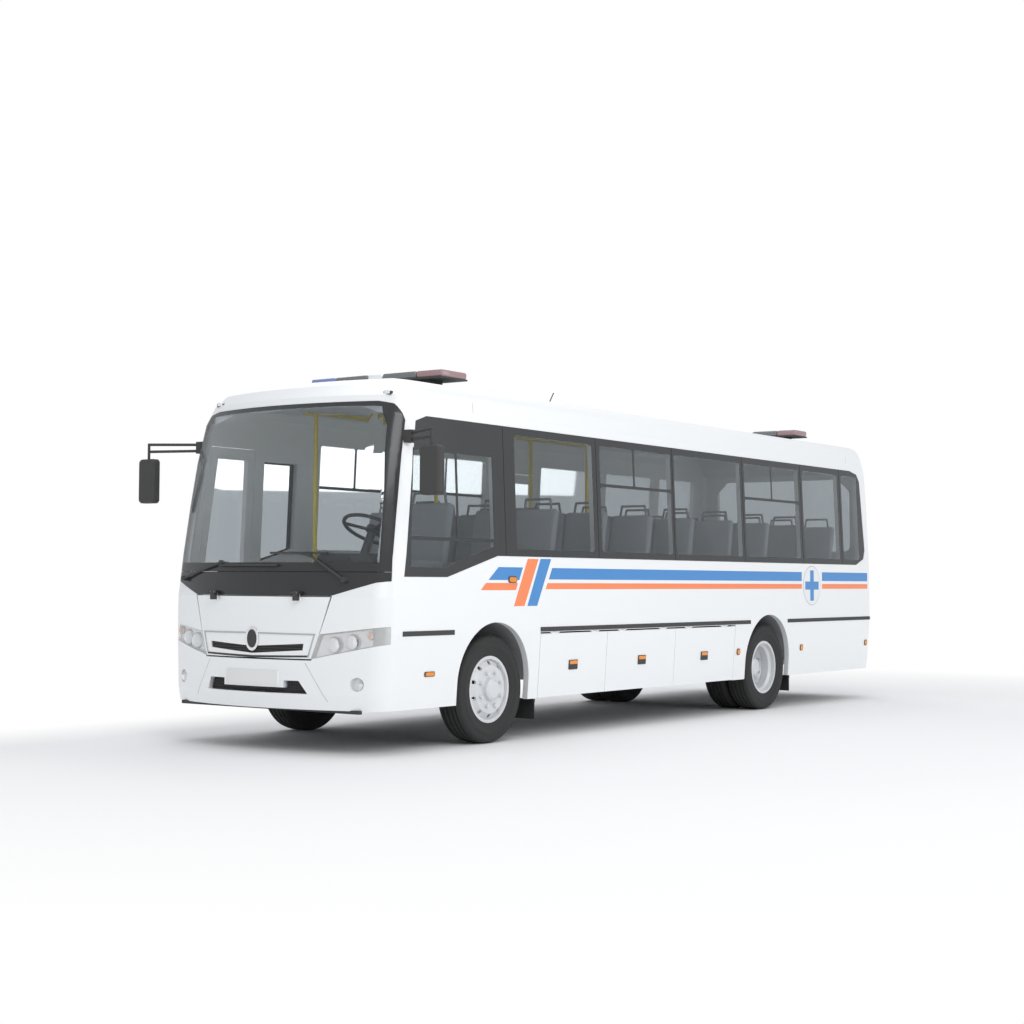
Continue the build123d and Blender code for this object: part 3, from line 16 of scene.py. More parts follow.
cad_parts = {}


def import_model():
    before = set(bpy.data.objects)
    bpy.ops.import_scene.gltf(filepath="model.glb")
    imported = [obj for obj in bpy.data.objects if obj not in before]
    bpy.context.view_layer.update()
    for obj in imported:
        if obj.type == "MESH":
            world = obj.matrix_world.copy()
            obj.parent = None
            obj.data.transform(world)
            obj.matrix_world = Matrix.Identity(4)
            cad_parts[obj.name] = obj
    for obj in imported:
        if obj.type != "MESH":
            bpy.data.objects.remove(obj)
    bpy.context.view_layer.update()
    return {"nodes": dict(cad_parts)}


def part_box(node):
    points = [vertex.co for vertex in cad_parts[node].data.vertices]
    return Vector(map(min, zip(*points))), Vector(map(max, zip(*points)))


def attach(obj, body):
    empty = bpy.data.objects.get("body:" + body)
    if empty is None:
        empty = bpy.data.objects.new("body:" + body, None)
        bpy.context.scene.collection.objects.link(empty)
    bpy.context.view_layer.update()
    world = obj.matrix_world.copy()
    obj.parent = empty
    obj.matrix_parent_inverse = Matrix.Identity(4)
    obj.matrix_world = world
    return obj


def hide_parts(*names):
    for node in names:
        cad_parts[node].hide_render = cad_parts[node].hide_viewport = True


LOG = logging.getLogger("medical_bus")

Point2 = tuple[float, float]
Point3 = tuple[float, float, float]
Colour = tuple[float, float, float]

# The body's outer faces: where nose and tail stand, and the nose's radius in plan, flat beyond NOSE_EDGE.
NOSE_Y = -4.375
TAIL_Y = 4.375
NOSE_RADIUS = 2.5
NOSE_EDGE = 0.978
# (half width, height) up the side, and (setback, height) up the nose.
SIDE_BREAKS: list[Point2] = [(1.062, 0.322), (1.096, 0.872), (1.091, 1.465), (1.043, 2.490), (1.027, 2.640)]
NOSE_BREAKS: list[Point2] = [
    (0.042, 0.270), (0.012, 0.430), (0.010, 0.872), (0.012, 1.140), (0.058, 1.465),
    (0.118, 1.850), (0.180, 2.190), (0.262, 2.490), (0.352, 2.640), (0.480, 2.735),
]
FRONT_AXLE_Y = -2.775
REAR_AXLE_Y = 1.853
HUB_Z = 0.419
AXLE_X = 0.922
TWIN_PITCH = 0.256
CABIN_FLOOR_Z = 0.981
# Printed film and seams: how thick they are, and how far their middle stands off the panel.
FILM = 0.0004
FILM_LIFT = 0.0003
# How closely flat shapes are cut across so that they follow the curved nose.
NOSE_STEP = 0.06


class Side(Enum):
    """The bus's two sides."""

    LEFT = 1
    RIGHT = -1


def side_x(z: float) -> float:
    """Half the body's width at a height."""
    for (xa, za), (xb, zb) in zip(SIDE_BREAKS, SIDE_BREAKS[1:]):
        if z <= zb:
            return xa + (z - za) * (xb - xa) / (zb - za)
    return SIDE_BREAKS[-1][0]


def nose_y(x: float, z: float) -> float:
    """Where the nose's outer face lies at a place in front view."""
    back = NOSE_BREAKS[-1][0]
    for (ba, za), (bb, zb) in zip(NOSE_BREAKS, NOSE_BREAKS[1:]):
        if za <= z <= zb:
            back = ba + (z - za) * (bb - ba) / (zb - za)
    return NOSE_Y + back + NOSE_RADIUS - sqrt(NOSE_RADIUS**2 - min(abs(x), NOSE_EDGE) ** 2)


# Finishes


@dataclass(frozen=True)
class Finish:
    """A surface finish made of one principled shader, with noise in its colour and relief.

    Attributes:
        name: The material's name.
        colour: The base colour, linear.
        roughness: The middle roughness.
        spread: How far noise moves the roughness.
        metallic: 0 or 1.
        grain: The noise's scale, in cycles per metre.
        relief: The depth of the bump, in metres.
        coat: Clear coat weight.
        tint_spread: How far noise moves the colour's brightness.
        sheen: Sheen weight.
    """

    name: str
    colour: Colour
    roughness: float = 0.4
    spread: float = 0.06
    metallic: float = 0.0
    grain: float = 60.0
    relief: float = 0.0
    coat: float = 0.0
    tint_spread: float = 0.05
    sheen: float = 0.0

    def build(self) -> bpy.types.Material:
        """Make the material, or return the one already made."""
        found = bpy.data.materials.get(self.name)
        if found:
            return found
        material = bpy.data.materials.new(self.name)
        material.use_nodes = True
        nodes, links = material.node_tree.nodes, material.node_tree.links
        shader = nodes["Principled BSDF"]
        shader.inputs["Metallic"].default_value = self.metallic
        shader.inputs["Coat Weight"].default_value = self.coat
        shader.inputs["Coat Roughness"].default_value = 0.06
        shader.inputs["Sheen Weight"].default_value = self.sheen
        place = nodes.new("ShaderNodeTexCoord")
        noise = nodes.new("ShaderNodeTexNoise")
        noise.inputs["Scale"].default_value = self.grain
        noise.inputs["Detail"].default_value = 4.0
        links.new(place.outputs["Object"], noise.inputs["Vector"])
        rough = nodes.new("ShaderNodeMapRange")
        rough.inputs["To Min"].default_value = max(0.02, self.roughness - self.spread)
        rough.inputs["To Max"].default_value = self.roughness + self.spread
        links.new(noise.outputs["Fac"], rough.inputs["Value"])
        links.new(rough.outputs["Result"], shader.inputs["Roughness"])
        broad = nodes.new("ShaderNodeTexNoise")
        broad.inputs["Scale"].default_value = max(1.2, self.grain / 25)
        broad.inputs["Detail"].default_value = 3.0
        links.new(place.outputs["Object"], broad.inputs["Vector"])
        ramp = nodes.new("ShaderNodeMixRGB")
        low = [c * (1 - self.tint_spread) for c in self.colour]
        high = [min(1.0, c * (1 + self.tint_spread)) for c in self.colour]
        ramp.inputs["Color1"].default_value = (*low, 1)
        ramp.inputs["Color2"].default_value = (*high, 1)
        links.new(broad.outputs["Fac"], ramp.inputs["Fac"])
        links.new(ramp.outputs["Color"], shader.inputs["Base Color"])
        if self.relief:
            bump = nodes.new("ShaderNodeBump")
            bump.inputs["Distance"].default_value = self.relief
            bump.inputs["Strength"].default_value = 0.6
            links.new(noise.outputs["Fac"], bump.inputs["Height"])
            links.new(bump.outputs["Normal"], shader.inputs["Normal"])
        return material


@dataclass(frozen=True)
class Pane(Finish):
    """Clear or tinted glass."""

    depth: float = 1.0

    def build(self) -> bpy.types.Material:
        """Make the glass."""
        found = bpy.data.materials.get(self.name)
        if found:
            return found
        material = bpy.data.materials.new(self.name)
        material.use_nodes = True
        shader = material.node_tree.nodes["Principled BSDF"]
        shader.inputs["Base Color"].default_value = (*self.colour, 1)
        shader.inputs["Roughness"].default_value = self.roughness
        shader.inputs["Transmission Weight"].default_value = self.depth
        shader.inputs["IOR"].default_value = 1.45
        return material


@dataclass(frozen=True)
class SkirtDarkeningPaint(Finish):
    """White body paint that turns faintly darker and browner towards the skirt."""

    def build(self) -> bpy.types.Material:
        """Make the paint."""
        found = bpy.data.materials.get(self.name)
        if found:
            return found
        material = super().build()
        nodes, links = material.node_tree.nodes, material.node_tree.links
        shader = nodes["Principled BSDF"]
        even_colour = shader.inputs["Base Color"].links[0].from_socket
        place = next(n for n in nodes if n.type == "TEX_COORD")
        # Darker towards the skirt: up to a tenth of a grey-brown is mixed into the paint from 0.95 m down to
        # 0.30 m.
        split = nodes.new("ShaderNodeSeparateXYZ")
        links.new(place.outputs["Object"], split.inputs["Vector"])
        fade = nodes.new("ShaderNodeMapRange")
        fade.inputs["From Min"].default_value = 0.95
        fade.inputs["From Max"].default_value = 0.30
        fade.inputs["To Max"].default_value = 0.10
        links.new(split.outputs["Z"], fade.inputs["Value"])
        skirt_darkening = nodes.new("ShaderNodeMixRGB")
        skirt_darkening.inputs["Color2"].default_value = (0.42, 0.39, 0.35, 1)
        links.new(fade.outputs["Result"], skirt_darkening.inputs["Fac"])
        links.new(even_colour, skirt_darkening.inputs["Color1"])
        links.new(skirt_darkening.outputs["Color"], shader.inputs["Base Color"])
        return material


WHITE = SkirtDarkeningPaint("body_white", (0.80, 0.81, 0.82), 0.26, 0.03, grain=40, coat=0.35, tint_spread=0.012)
BLUE = Finish("stripe_blue", (0.055, 0.26, 0.62), 0.30, 0.03, coat=0.2, tint_spread=0.03)
ORANGE = Finish("stripe_orange", (0.98, 0.26, 0.095), 0.30, 0.03, coat=0.2, tint_spread=0.03)
BADGE_WHITE = Finish("badge_white", (0.85, 0.86, 0.87), 0.3, 0.03, tint_spread=0.01)
# Grey for the badge's rim and the seam lines, and also painted shade along the bumper's creases.
LINE_GREY_AND_CREASE_SHADE = Finish("badge_line", (0.45, 0.47, 0.5), 0.35, 0.03, tint_spread=0.02)
TINTED = Pane("tinted_glass", (0.66, 0.69, 0.70), 0.02)
CLEAR = Pane("clear_glass", (0.88, 0.91, 0.92), 0.02)
LENS = Pane("lamp_lens", (0.92, 0.94, 0.95), 0.03)
BLACK = Finish("trim_black", (0.028, 0.028, 0.030), 0.52, 0.08, grain=420, relief=0.0004, tint_spread=0.15)
BAND_BLACK = Finish("band_black", (0.030, 0.031, 0.033), 0.22, 0.04, grain=90, coat=0.2, tint_spread=0.08)
# A near-black sheet set behind the grille's slot and the intake's wires: painted shade of the openings.
SHADE_SHEET = Finish("gasket_rubber", (0.016, 0.016, 0.017), 0.62, 0.06, grain=200, tint_spread=0.1)
CHASSIS = Finish("chassis_black", (0.022, 0.022, 0.023), 0.55, 0.12, grain=70, relief=0.0005, tint_spread=0.2)
IRON = Finish("iron_black", (0.03, 0.029, 0.028), 0.62, 0.12, grain=90, relief=0.0008, tint_spread=0.25)
SILVER = Finish(
    "wheel_silver", (0.62, 0.63, 0.64), 0.36, 0.08, metallic=0.35, grain=50, coat=0.15, tint_spread=0.06
)
CHROME = Finish("chrome", (0.75, 0.76, 0.78), 0.12, 0.04, metallic=1.0, grain=50, tint_spread=0.03)
TYRE = Finish("tyre_rubber", (0.026, 0.026, 0.027), 0.72, 0.1, grain=160, relief=0.0006, tint_spread=0.18)
SHEET_RUBBER = Finish(
    "sheet_rubber", (0.02, 0.02, 0.021), 0.7, 0.08, grain=120, relief=0.0006, tint_spread=0.15
)
FLOOR_GREY = Finish("floor_grey", (0.10, 0.103, 0.106), 0.6, 0.1, grain=500, relief=0.0003, tint_spread=0.15)
CLOTH = Finish(
    "seat_cloth", (0.27, 0.285, 0.305), 0.9, 0.05, grain=900, relief=0.0006, tint_spread=0.12, sheen=0.3
)
YELLOW = Finish("rail_yellow", (0.78, 0.50, 0.04), 0.35, 0.05, grain=60, coat=0.2, tint_spread=0.03)
AMBER = Finish("amber_lens", (0.85, 0.28, 0.02), 0.2, 0.03, grain=150, coat=0.3, tint_spread=0.05)
RED = Finish("red_lens", (0.55, 0.02, 0.015), 0.2, 0.03, grain=150, coat=0.3, tint_spread=0.05)
BEACON_BLUE = Finish("beacon_blue", (0.20, 0.25, 0.50), 0.15, 0.03, grain=150, coat=0.4, tint_spread=0.04)
BEACON_CLEAR = Finish("beacon_clear", (0.17, 0.175, 0.18), 0.15, 0.03, grain=150, coat=0.4, tint_spread=0.05)
DASH = Finish("dash_grey", (0.075, 0.078, 0.082), 0.62, 0.08, grain=600, relief=0.0004, tint_spread=0.1)
MIRROR = Finish("mirror_glass", (0.85, 0.86, 0.87), 0.03, 0.01, metallic=1.0, tint_spread=0.0)
LOOP_GREY = Finish("loop_grey", (0.30, 0.31, 0.32), 0.5, 0.06, grain=60, tint_spread=0.05)
TRIM_GREY = Finish("trim_grey", (0.46, 0.47, 0.48), 0.35, 0.05, grain=60, coat=0.2, tint_spread=0.03)
REFLECTOR = Finish("reflector", (0.78, 0.79, 0.80), 0.22, 0.06, metallic=0.6, grain=220, tint_spread=0.12)
BULB = Finish("lamp_bulb", (0.82, 0.84, 0.86), 0.10, 0.03, grain=200, coat=0.4, tint_spread=0.05)
BEACON_ROSE = Finish("beacon_rose", (0.34, 0.22, 0.23), 0.15, 0.03, grain=150, coat=0.4, tint_spread=0.05)
PLATE = Finish("plate_white", (0.82, 0.82, 0.81), 0.35, 0.04, grain=80, coat=0.2, tint_spread=0.02)


# Modelling by operators


def deselect() -> None:
    """Leave edit mode and deselect everything."""
    if bpy.context.object and bpy.context.object.mode != "OBJECT":
        bpy.ops.object.mode_set(mode="OBJECT")
    bpy.ops.object.select_all(action="DESELECT")


def activate(piece: bpy.types.Object) -> None:
    """Select one piece alone and make it active."""
    deselect()
    piece.select_set(True)
    bpy.context.view_layer.objects.active = piece


def settle(piece: bpy.types.Object, name: str, finish: Finish | None) -> bpy.types.Object:
    """Name a piece, put its place into its mesh and give it its finish.

    Args:
        piece: The object to settle.
        name: Its name.
        finish: Its finish, or None to keep what it has.

    Returns:
        The piece.
    """
    activate(piece)
    bpy.ops.object.transform_apply(location=True, rotation=True, scale=True)
    piece.name = name
    if finish:
        piece.data.materials.clear()
        piece.data.materials.append(finish.build())
    return piece


def bevelled(piece: bpy.types.Object, width: float, segments: int = 3) -> None:
    """Round a piece's sharp edges with an applied bevel."""
    activate(piece)
    edge = piece.modifiers.new("edge", "BEVEL")
    edge.width = width
    edge.segments = segments
    edge.limit_method = "ANGLE"
    bpy.ops.object.modifier_apply(modifier=edge.name)
    bpy.ops.object.shade_smooth_by_angle(angle=radians(35))


def box(name: str, low: Point3, high: Point3, finish: Finish, bevel: float = 0.003) -> bpy.types.Object:
    """A box between two corners, with its edges rounded."""
    deselect()
    centre = [(a + b) / 2 for a, b in zip(low, high)]
    size = [abs(b - a) for a, b in zip(low, high)]
    bpy.ops.mesh.primitive_cube_add(size=1, location=centre, scale=size)
    piece = settle(bpy.context.object, name, finish)
    if bevel:
        bevelled(piece, min(bevel, min(size) * 0.45))
    return piece


def bar(
    name: str, start: Point3, end: Point3, radius: float, finish: Finish, sides: int = 20
) -> bpy.types.Object:
    """A round bar between two points, with softened ends."""
    deselect()
    a, b = Vector(start), Vector(end)
    turn = (b - a).to_track_quat("Z", "Y").to_euler()
    bpy.ops.mesh.primitive_cylinder_add(
        vertices=sides, radius=radius, depth=(b - a).length, location=(a + b) / 2, rotation=turn
    )
    piece = settle(bpy.context.object, name, finish)
    bevelled(piece, min(radius * 0.3, 0.004), 2)
    return piece


def joined(name: str, pieces: Iterable[bpy.types.Object]) -> bpy.types.Object:
    """Join pieces into one object."""
    deselect()
    every = list(pieces)
    for piece in every:
        piece.select_set(True)
    bpy.context.view_layer.objects.active = every[0]
    if len(every) > 1:
        bpy.ops.object.join()
    every[0].name = name
    return every[0]


def copied(piece: bpy.types.Object, name: str, shift: Point3 = (0, 0, 0)) -> bpy.types.Object:
    """A copy of a piece with its own mesh, moved."""
    twin = piece.copy()
    twin.data = piece.data.copy()
    twin.name = name
    twin.parent = None
    twin.matrix_world = Matrix.Identity(4)
    bpy.context.collection.objects.link(twin)
    twin.data.transform(Matrix.Translation(shift))
    return twin


def sheet_shape(
    name: str, outline: Sequence[Point2], finish: Finish, thick: float = FILM
) -> bpy.types.Object:
    """A thin flat shape from its outline, lying in the ground plane."""
    curve = bpy.data.curves.new(name, "CURVE")
    curve.dimensions = "2D"
    curve.fill_mode = "BOTH"
    curve.extrude = thick / 2
    line = curve.splines.new("POLY")
    line.points.add(len(outline) - 1)
    for point, (u, v) in zip(line.points, outline):
        point.co = (u, v, 0, 1)
    line.use_cyclic_u = True
    piece = bpy.data.objects.new(name, curve)
    bpy.context.collection.objects.link(piece)
    activate(piece)
    bpy.ops.object.convert(target="MESH")
    return settle(bpy.context.object, name, finish)


def tidy_normals(piece: bpy.types.Object) -> None:
    """Merge a piece's doubles and point its faces outwards."""
    activate(piece)
    bpy.ops.object.mode_set(mode="EDIT")
    bpy.ops.mesh.select_all(action="SELECT")
    bpy.ops.mesh.remove_doubles(threshold=0.00005)
    bpy.ops.mesh.normals_make_consistent(inside=False)
    bpy.ops.object.mode_set(mode="OBJECT")


def spun(name: str, profile: Sequence[Point2], finish: Finish, steps: int) -> bpy.types.Object:
    """A closed outline of (x, radius) points turned about a wheel's axis with the spin operator."""
    mesh = bpy.data.meshes.new(name)
    points = [(x, 0, r) for x, r in profile]
    mesh.from_pydata(points, [(i, (i + 1) % len(points)) for i in range(len(points))], [])
    piece = bpy.data.objects.new(name, mesh)
    bpy.context.collection.objects.link(piece)
    activate(piece)
    bpy.ops.object.mode_set(mode="EDIT")
    bpy.ops.mesh.select_all(action="SELECT")
    bpy.ops.mesh.spin(steps=steps, angle=2 * pi, center=(0, 0, 0), axis=(1, 0, 0))
    bpy.ops.object.mode_set(mode="OBJECT")
    piece = settle(piece, name, finish)
    tidy_normals(piece)
    bpy.ops.object.shade_smooth_by_angle(angle=radians(40))
    return piece


def ring_points(centre: Point2, radius: float, count: int = 64) -> list[Point2]:
    """Points round a circle."""
    return [
        (centre[0] + radius * cos(2 * pi * i / count), centre[1] + radius * sin(2 * pi * i / count))
        for i in range(count)
    ]


@dataclass
class Livery:
    """The stripes and the medical badge on both sides."""

    lift: float = 0.0008
    layer: float = 0.0006
    # Outlines as (y, z): the short bar, the slanted bar, the long stripe and its end behind the badge.
    blue: list[list[Point2]] = field(default_factory=lambda: [
        [(-2.769, 1.373), (-2.440, 1.373), (-2.490, 1.272), (-2.901, 1.272)],
        [(-2.191, 1.444), (-2.041, 1.444), (-2.242, 1.066), (-2.378, 1.066)],
        [(-2.025, 1.372), (2.550, 1.372), (2.550, 1.279), (-2.075, 1.279)],
        [(3.029, 1.373), (4.180, 1.373), (4.180, 1.281), (3.029, 1.281)],
    ])
    orange: list[list[Point2]] = field(default_factory=lambda: [
        [(-2.936, 1.249), (-2.508, 1.249), (-2.535, 1.193), (-3.001, 1.193)],
        [(-2.372, 1.442), (-2.220, 1.442), (-2.419, 1.066), (-2.563, 1.066)],
        [(-2.095, 1.249), (2.550, 1.249), (2.550, 1.200), (-2.119, 1.200)],
        [(3.029, 1.250), (4.180, 1.250), (4.180, 1.199), (3.029, 1.199)],
    ])
    badge: Point2 = (2.786, 1.233)
    badge_radius: float = 0.205
    badge_edge: float = 0.006
    arm: float = 0.158
    arm_half: float = 0.042
    door: Point2 = (-0.060, 0.770)

    def stripes(self, side: Side) -> None:
        """The blue and the orange stripes of one side."""
        doors = [self.door] if side is Side.RIGHT else []
        for shade, finish, shapes in (("blue", BLUE, self.blue), ("orange", ORANGE, self.orange)):
            strips = []
            for index, shape in enumerate(shapes):
                for part_index, outline in enumerate(self.cut(shape, doors)):
                    name = f"stripe_{shade}_{side.name.lower()}_{index}_{part_index}"
                    strips.append(on_wall(sheet_shape(name, outline, finish), side, self.lift))
            whole = joined(f"stripes_{shade}_{side.name.lower()}", strips)
            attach(whole, "bus")

    def cut(self, shape: list[Point2], gaps: list[Point2]) -> list[list[Point2]]:
        """Split a long stripe where a door interrupts it."""
        left, right = min(y for y, _ in shape), max(y for y, _ in shape)
        for low, high in gaps:
            if left < low and right > high:
                top, foot = max(z for _, z in shape), min(z for _, z in shape)
                first = [shape[0], (low, top), (low, foot), shape[3]]
                return [first, [(high, top), shape[1], shape[2], (high, foot)]]
        return [shape]

    def badges(self, side: Side) -> None:
        """The round badge with a plain cross."""
        y, z = self.badge
        a, h = self.arm, self.arm_half
        disc = sheet_shape("disc", ring_points(self.badge, self.badge_radius), LINE_GREY_AND_CREASE_SHADE)
        face = sheet_shape("face", ring_points(self.badge, self.badge_radius - self.badge_edge), BADGE_WHITE)
        cross: list[Point2] = [(-h, -a), (h, -a), (h, -h)]
        for _ in range(3):
            cross += [(-v, u) for u, v in cross[-3:]]
        mark = sheet_shape("cross", [(y + u, z + v) for u, v in cross], BLUE)
        parts = [on_wall(p, side, self.lift + i * self.layer) for i, p in enumerate((disc, face, mark))]
        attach(joined(f"badge_{side.name.lower()}", parts), "bus")

    def build(self) -> None:
        """Lay the whole livery."""
        for side in Side:
            self.stripes(side)
            self.badges(side)
        LOG.info("livery laid")


@dataclass
class Tyres:
    """Road tyres with grooved tread and moulded walls, in place of the plain ones."""

    radius: float = 0.419
    half: float = 0.116
    bead: float = 0.2465
    groove: float = 0.011
    grooves: tuple[float, ...] = (-0.062, -0.021, 0.021, 0.062)

    def profile(self) -> list[Point2]:
        """The tyre's outline as (x, radius) points."""
        r, w, d = self.radius, self.half, self.groove
        crown: list[Point2] = [(-w + 0.022, r - 0.006)]
        for x in self.grooves:
            crown += [(x + dx, r - depth) for dx, depth in ((-0.007, 0), (-0.005, d), (0.005, d), (0.007, 0))]
        crown.append((w - 0.022, r - 0.006))
        wall: list[Point2] = [
            (w - 0.010, r - 0.016), (w - 0.005, r - 0.040), (w - 0.006, r - 0.044), (w - 0.001, r - 0.070),
            (w, 0.345), (w - 0.003, 0.322), (w - 0.006, 0.318), (w - 0.008, 0.296), (w - 0.016, 0.276),
            (0.097, 0.265), (0.0835, 0.2612), (0.0835, self.bead),
        ]
        return crown + wall + [(-x, z) for x, z in reversed(wall)]

    def build(self) -> None:
        """Make the six tyres from one."""
        first = spun("tyre_pattern", self.profile(), TYRE, 120)
        places = {
            "front_left": [(AXLE_X, FRONT_AXLE_Y)],
            "front_right": [(-AXLE_X, FRONT_AXLE_Y)],
            "rear_left": [(AXLE_X, REAR_AXLE_Y), (AXLE_X - TWIN_PITCH, REAR_AXLE_Y)],
            "rear_right": [(-AXLE_X, REAR_AXLE_Y), (-AXLE_X + TWIN_PITCH, REAR_AXLE_Y)],
        }
        for name, spots in places.items():
            rings = [copied(first, f"ring_{name}_{i}", (x, y, HUB_Z)) for i, (x, y) in enumerate(spots)]
            whole = joined(f"road_tyre_{name}", rings)
            front = name.startswith("front")
            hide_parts(f"tyre_{name}" if front else f"tyres_{name}")
            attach(whole, f"wheel_{name}" if front else f"wheels_{name}")
        bpy.data.objects.remove(first)
        LOG.info("tyres made")


def rounded(u0: float, u1: float, v0: float, v1: float, radius: float, steps: int = 6) -> list[Point2]:
    """A rectangle's outline with rounded corners."""
    left, right, low, high = u0 + radius, u1 - radius, v0 + radius, v1 - radius
    points = []
    for turn, (u, v) in enumerate(((right, high), (left, high), (left, low), (right, low))):
        for i in range(steps + 1):
            angle = pi / 2 * (turn + i / steps)
            points.append((u + radius * cos(angle), v + radius * sin(angle)))
    return points


def sliced(piece: bpy.types.Object, axis: int, places: Iterable[float]) -> None:
    """Give a flat shape edges across it, so that it can follow a curved face."""
    work = bmesh.new()
    work.from_mesh(piece.data)
    normal = Vector([float(i == axis) for i in range(3)])
    for place in places:
        everything = work.verts[:] + work.edges[:] + work.faces[:]
        bmesh.ops.bisect_plane(work, geom=everything, plane_co=normal * place, plane_no=normal)
    work.to_mesh(piece.data)
    work.free()


def on_wall(piece: bpy.types.Object, side: Side, lift: float) -> bpy.types.Object:
    """Lay a flat shape, drawn as (y, z), on a side wall, and keep its thickness."""
    sliced(piece, 1, [z for _, z in SIDE_BREAKS])
    for vertex in piece.data.vertices:
        y, z, height = vertex.co
        vertex.co = (side.value * (side_x(z) + lift + height), y, z)
    tidy_normals(piece)
    return piece


def on_nose(piece: bpy.types.Object, lift: float) -> bpy.types.Object:
    """Lay a flat shape, drawn as (x, z), on the nose, and keep its thickness."""
    sliced(piece, 0, [i * NOSE_STEP for i in range(-17, 18)])
    sliced(piece, 1, [z for _, z in NOSE_BREAKS])
    for vertex in piece.data.vertices:
        x, z, height = vertex.co
        vertex.co = (x, nose_y(x, z) - lift - height, z)
    tidy_normals(piece)
    return piece


def upright(piece: bpy.types.Object, across: int, place: float) -> bpy.types.Object:
    """Stand a flat shape up: across X at a place, drawn as (y, z), or across Y, drawn as (x, z)."""
    for vertex in piece.data.vertices:
        u, v, height = vertex.co
        vertex.co = (place + height, u, v) if across == 0 else (u, place + height, v)
    tidy_normals(piece)
    return piece


def cut_by(piece: bpy.types.Object, cutter: bpy.types.Object, operation: str) -> None:
    """Apply a boolean to a piece."""
    activate(piece)
    cut = piece.modifiers.new("cut", "BOOLEAN")
    cut.object = cutter
    cut.operation = operation
    cut.solver = "EXACT"
    bpy.ops.object.modifier_apply(modifier=cut.name)


@dataclass
class Glazing:
    """The panes, each with a black printed border round its see-through windows."""

    sill: float = 1.515
    head: float = 2.425
    corner: float = 0.028
    half_bar: float = 0.013
    # (front, rear, height of the slider's rail, place of the divider over it)
    left: tuple = (
        (-2.515, -1.373, None, None), (-1.255, -0.060, 2.087, -0.701), (0.003, 1.279, None, None),
        (1.361, 2.550, 2.087, 1.939), (2.641, 3.495, None, None), (3.588, 3.987, None, None),
    )
    right: tuple = (
        (-2.515, -1.400, 2.065, -2.002), (-1.255, -0.110, 2.089, -0.690), (0.835, 1.990, None, None),
        (2.080, 3.074, None, None), (3.201, 3.987, None, None),
    )
    # The cab windows' clear parts, as (y, z).
    cab: tuple = (
        ((-3.858, 1.362), (-3.446, 1.362), (-2.820, 1.532), (-2.820, 1.563), (-3.846, 1.563)),
        ((-3.844, 1.589), (-3.295, 1.589), (-3.295, 2.228), (-3.792, 2.228)),
        ((-3.269, 1.589), (-2.818, 1.589), (-2.818, 2.228), (-3.269, 2.228)),
    )
    cab_right: tuple = ((-3.165, 1.440), (-2.850, 1.524), (-2.850, 2.228), (-3.165, 2.228))
    # The left half of the windscreen's clear part, as (x, z), upwards.
    screen_half: tuple = ((1.006, 1.392), (0.985, 1.900), (0.935, 2.400), (0.862, 2.548), (0.6, 2.556))
    door_margin: float = 0.022
    # How far the front door's clear part leans in at the top, and where the lean starts over its foot.
    door_lean: float = 0.090
    lean_from: float = 0.45

    def lights(self, windows: tuple) -> list[list[Point2]]:
        """The see-through outlines of one side's windows."""
        shapes = []
        for front, rear, rail, divider in windows:
            if rail is None:
                shapes.append(rounded(front, rear, self.sill, self.head, self.corner))
                continue
            shapes.append(rounded(front, rear, self.sill, rail - self.half_bar, self.corner))
            for a, b in ((front, divider - self.half_bar), (divider + self.half_bar, rear)):
                shapes.append(rounded(a, b, rail + self.half_bar, self.head, self.corner / 2))
        return shapes

    def split(self, node: bpy.types.Object, name: str, body: str, cutters: list, glass: Finish) -> None:
        """Replace a packed pane by the same pane in two finishes."""
        cutter = joined("cutter", cutters)
        border, light = copied(node, "border"), copied(node, "light")
        cut_by(border, cutter, "DIFFERENCE")
        cut_by(light, cutter, "INTERSECT")
        for piece, finish in ((border, BAND_BLACK), (light, glass)):
            piece.data.materials.clear()
            piece.data.materials.append(finish.build())
        bpy.data.objects.remove(cutter)
        whole = joined(name, [border, light])
        activate(whole)
        bpy.ops.object.shade_smooth_by_angle(angle=radians(20))
        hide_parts(node.name)
        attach(whole, body)

    def build(self, nodes: dict[str, bpy.types.Object]) -> None:
        """Split every pane."""
        cutters = []
        sides = ((Side.LEFT, self.left, self.cab), (Side.RIGHT, self.right, (self.cab_right,)))
        for side, windows, cab in sides:
            for index, outline in enumerate(self.lights(windows) + [list(shape) for shape in cab]):
                flat = sheet_shape(f"cut_{side.name}_{index}", outline, BLACK, 0.36)
                cutters.append(upright(flat, 0, side.value * 1.05))
        rear = sheet_shape("cut_rear", rounded(-0.836, 0.836, 1.615, 2.425, 0.06), BLACK, 0.5)
        cutters.append(upright(rear, 1, TAIL_Y))
        self.split(nodes["saloon_glazing"], "printed_panes", "bus", cutters, TINTED)
        screen = [*self.screen_half, *((-x, z) for x, z in reversed(self.screen_half))]
        front = upright(sheet_shape("cut_screen", screen, BLACK, 1.6), 1, NOSE_Y + 0.3)
        self.split(nodes["windscreen"], "printed_screen", "bus", [front], CLEAR)
        for name in ("front_door", "mid_door"):
            node = nodes[f"{name}_glass"]
            (_, y0, z0), (_, y1, z1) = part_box(f"{name}_glass")
            lean = self.door_lean if name == "front_door" else 0.0
            m = self.door_margin
            outline = [
                (y0 + m, z0 + m), (y1 - m, z0 + m), (y1 - m, z1 - m),
                (y0 + m + lean, z1 - m), (y0 + m, z0 + self.lean_from),
            ]
            cutter = upright(sheet_shape("cut_door", outline, BLACK, 0.36), 0, -1.05)
            self.split(node, f"printed_{name}_pane", name, [cutter], TINTED)
        LOG.info("glazing split")


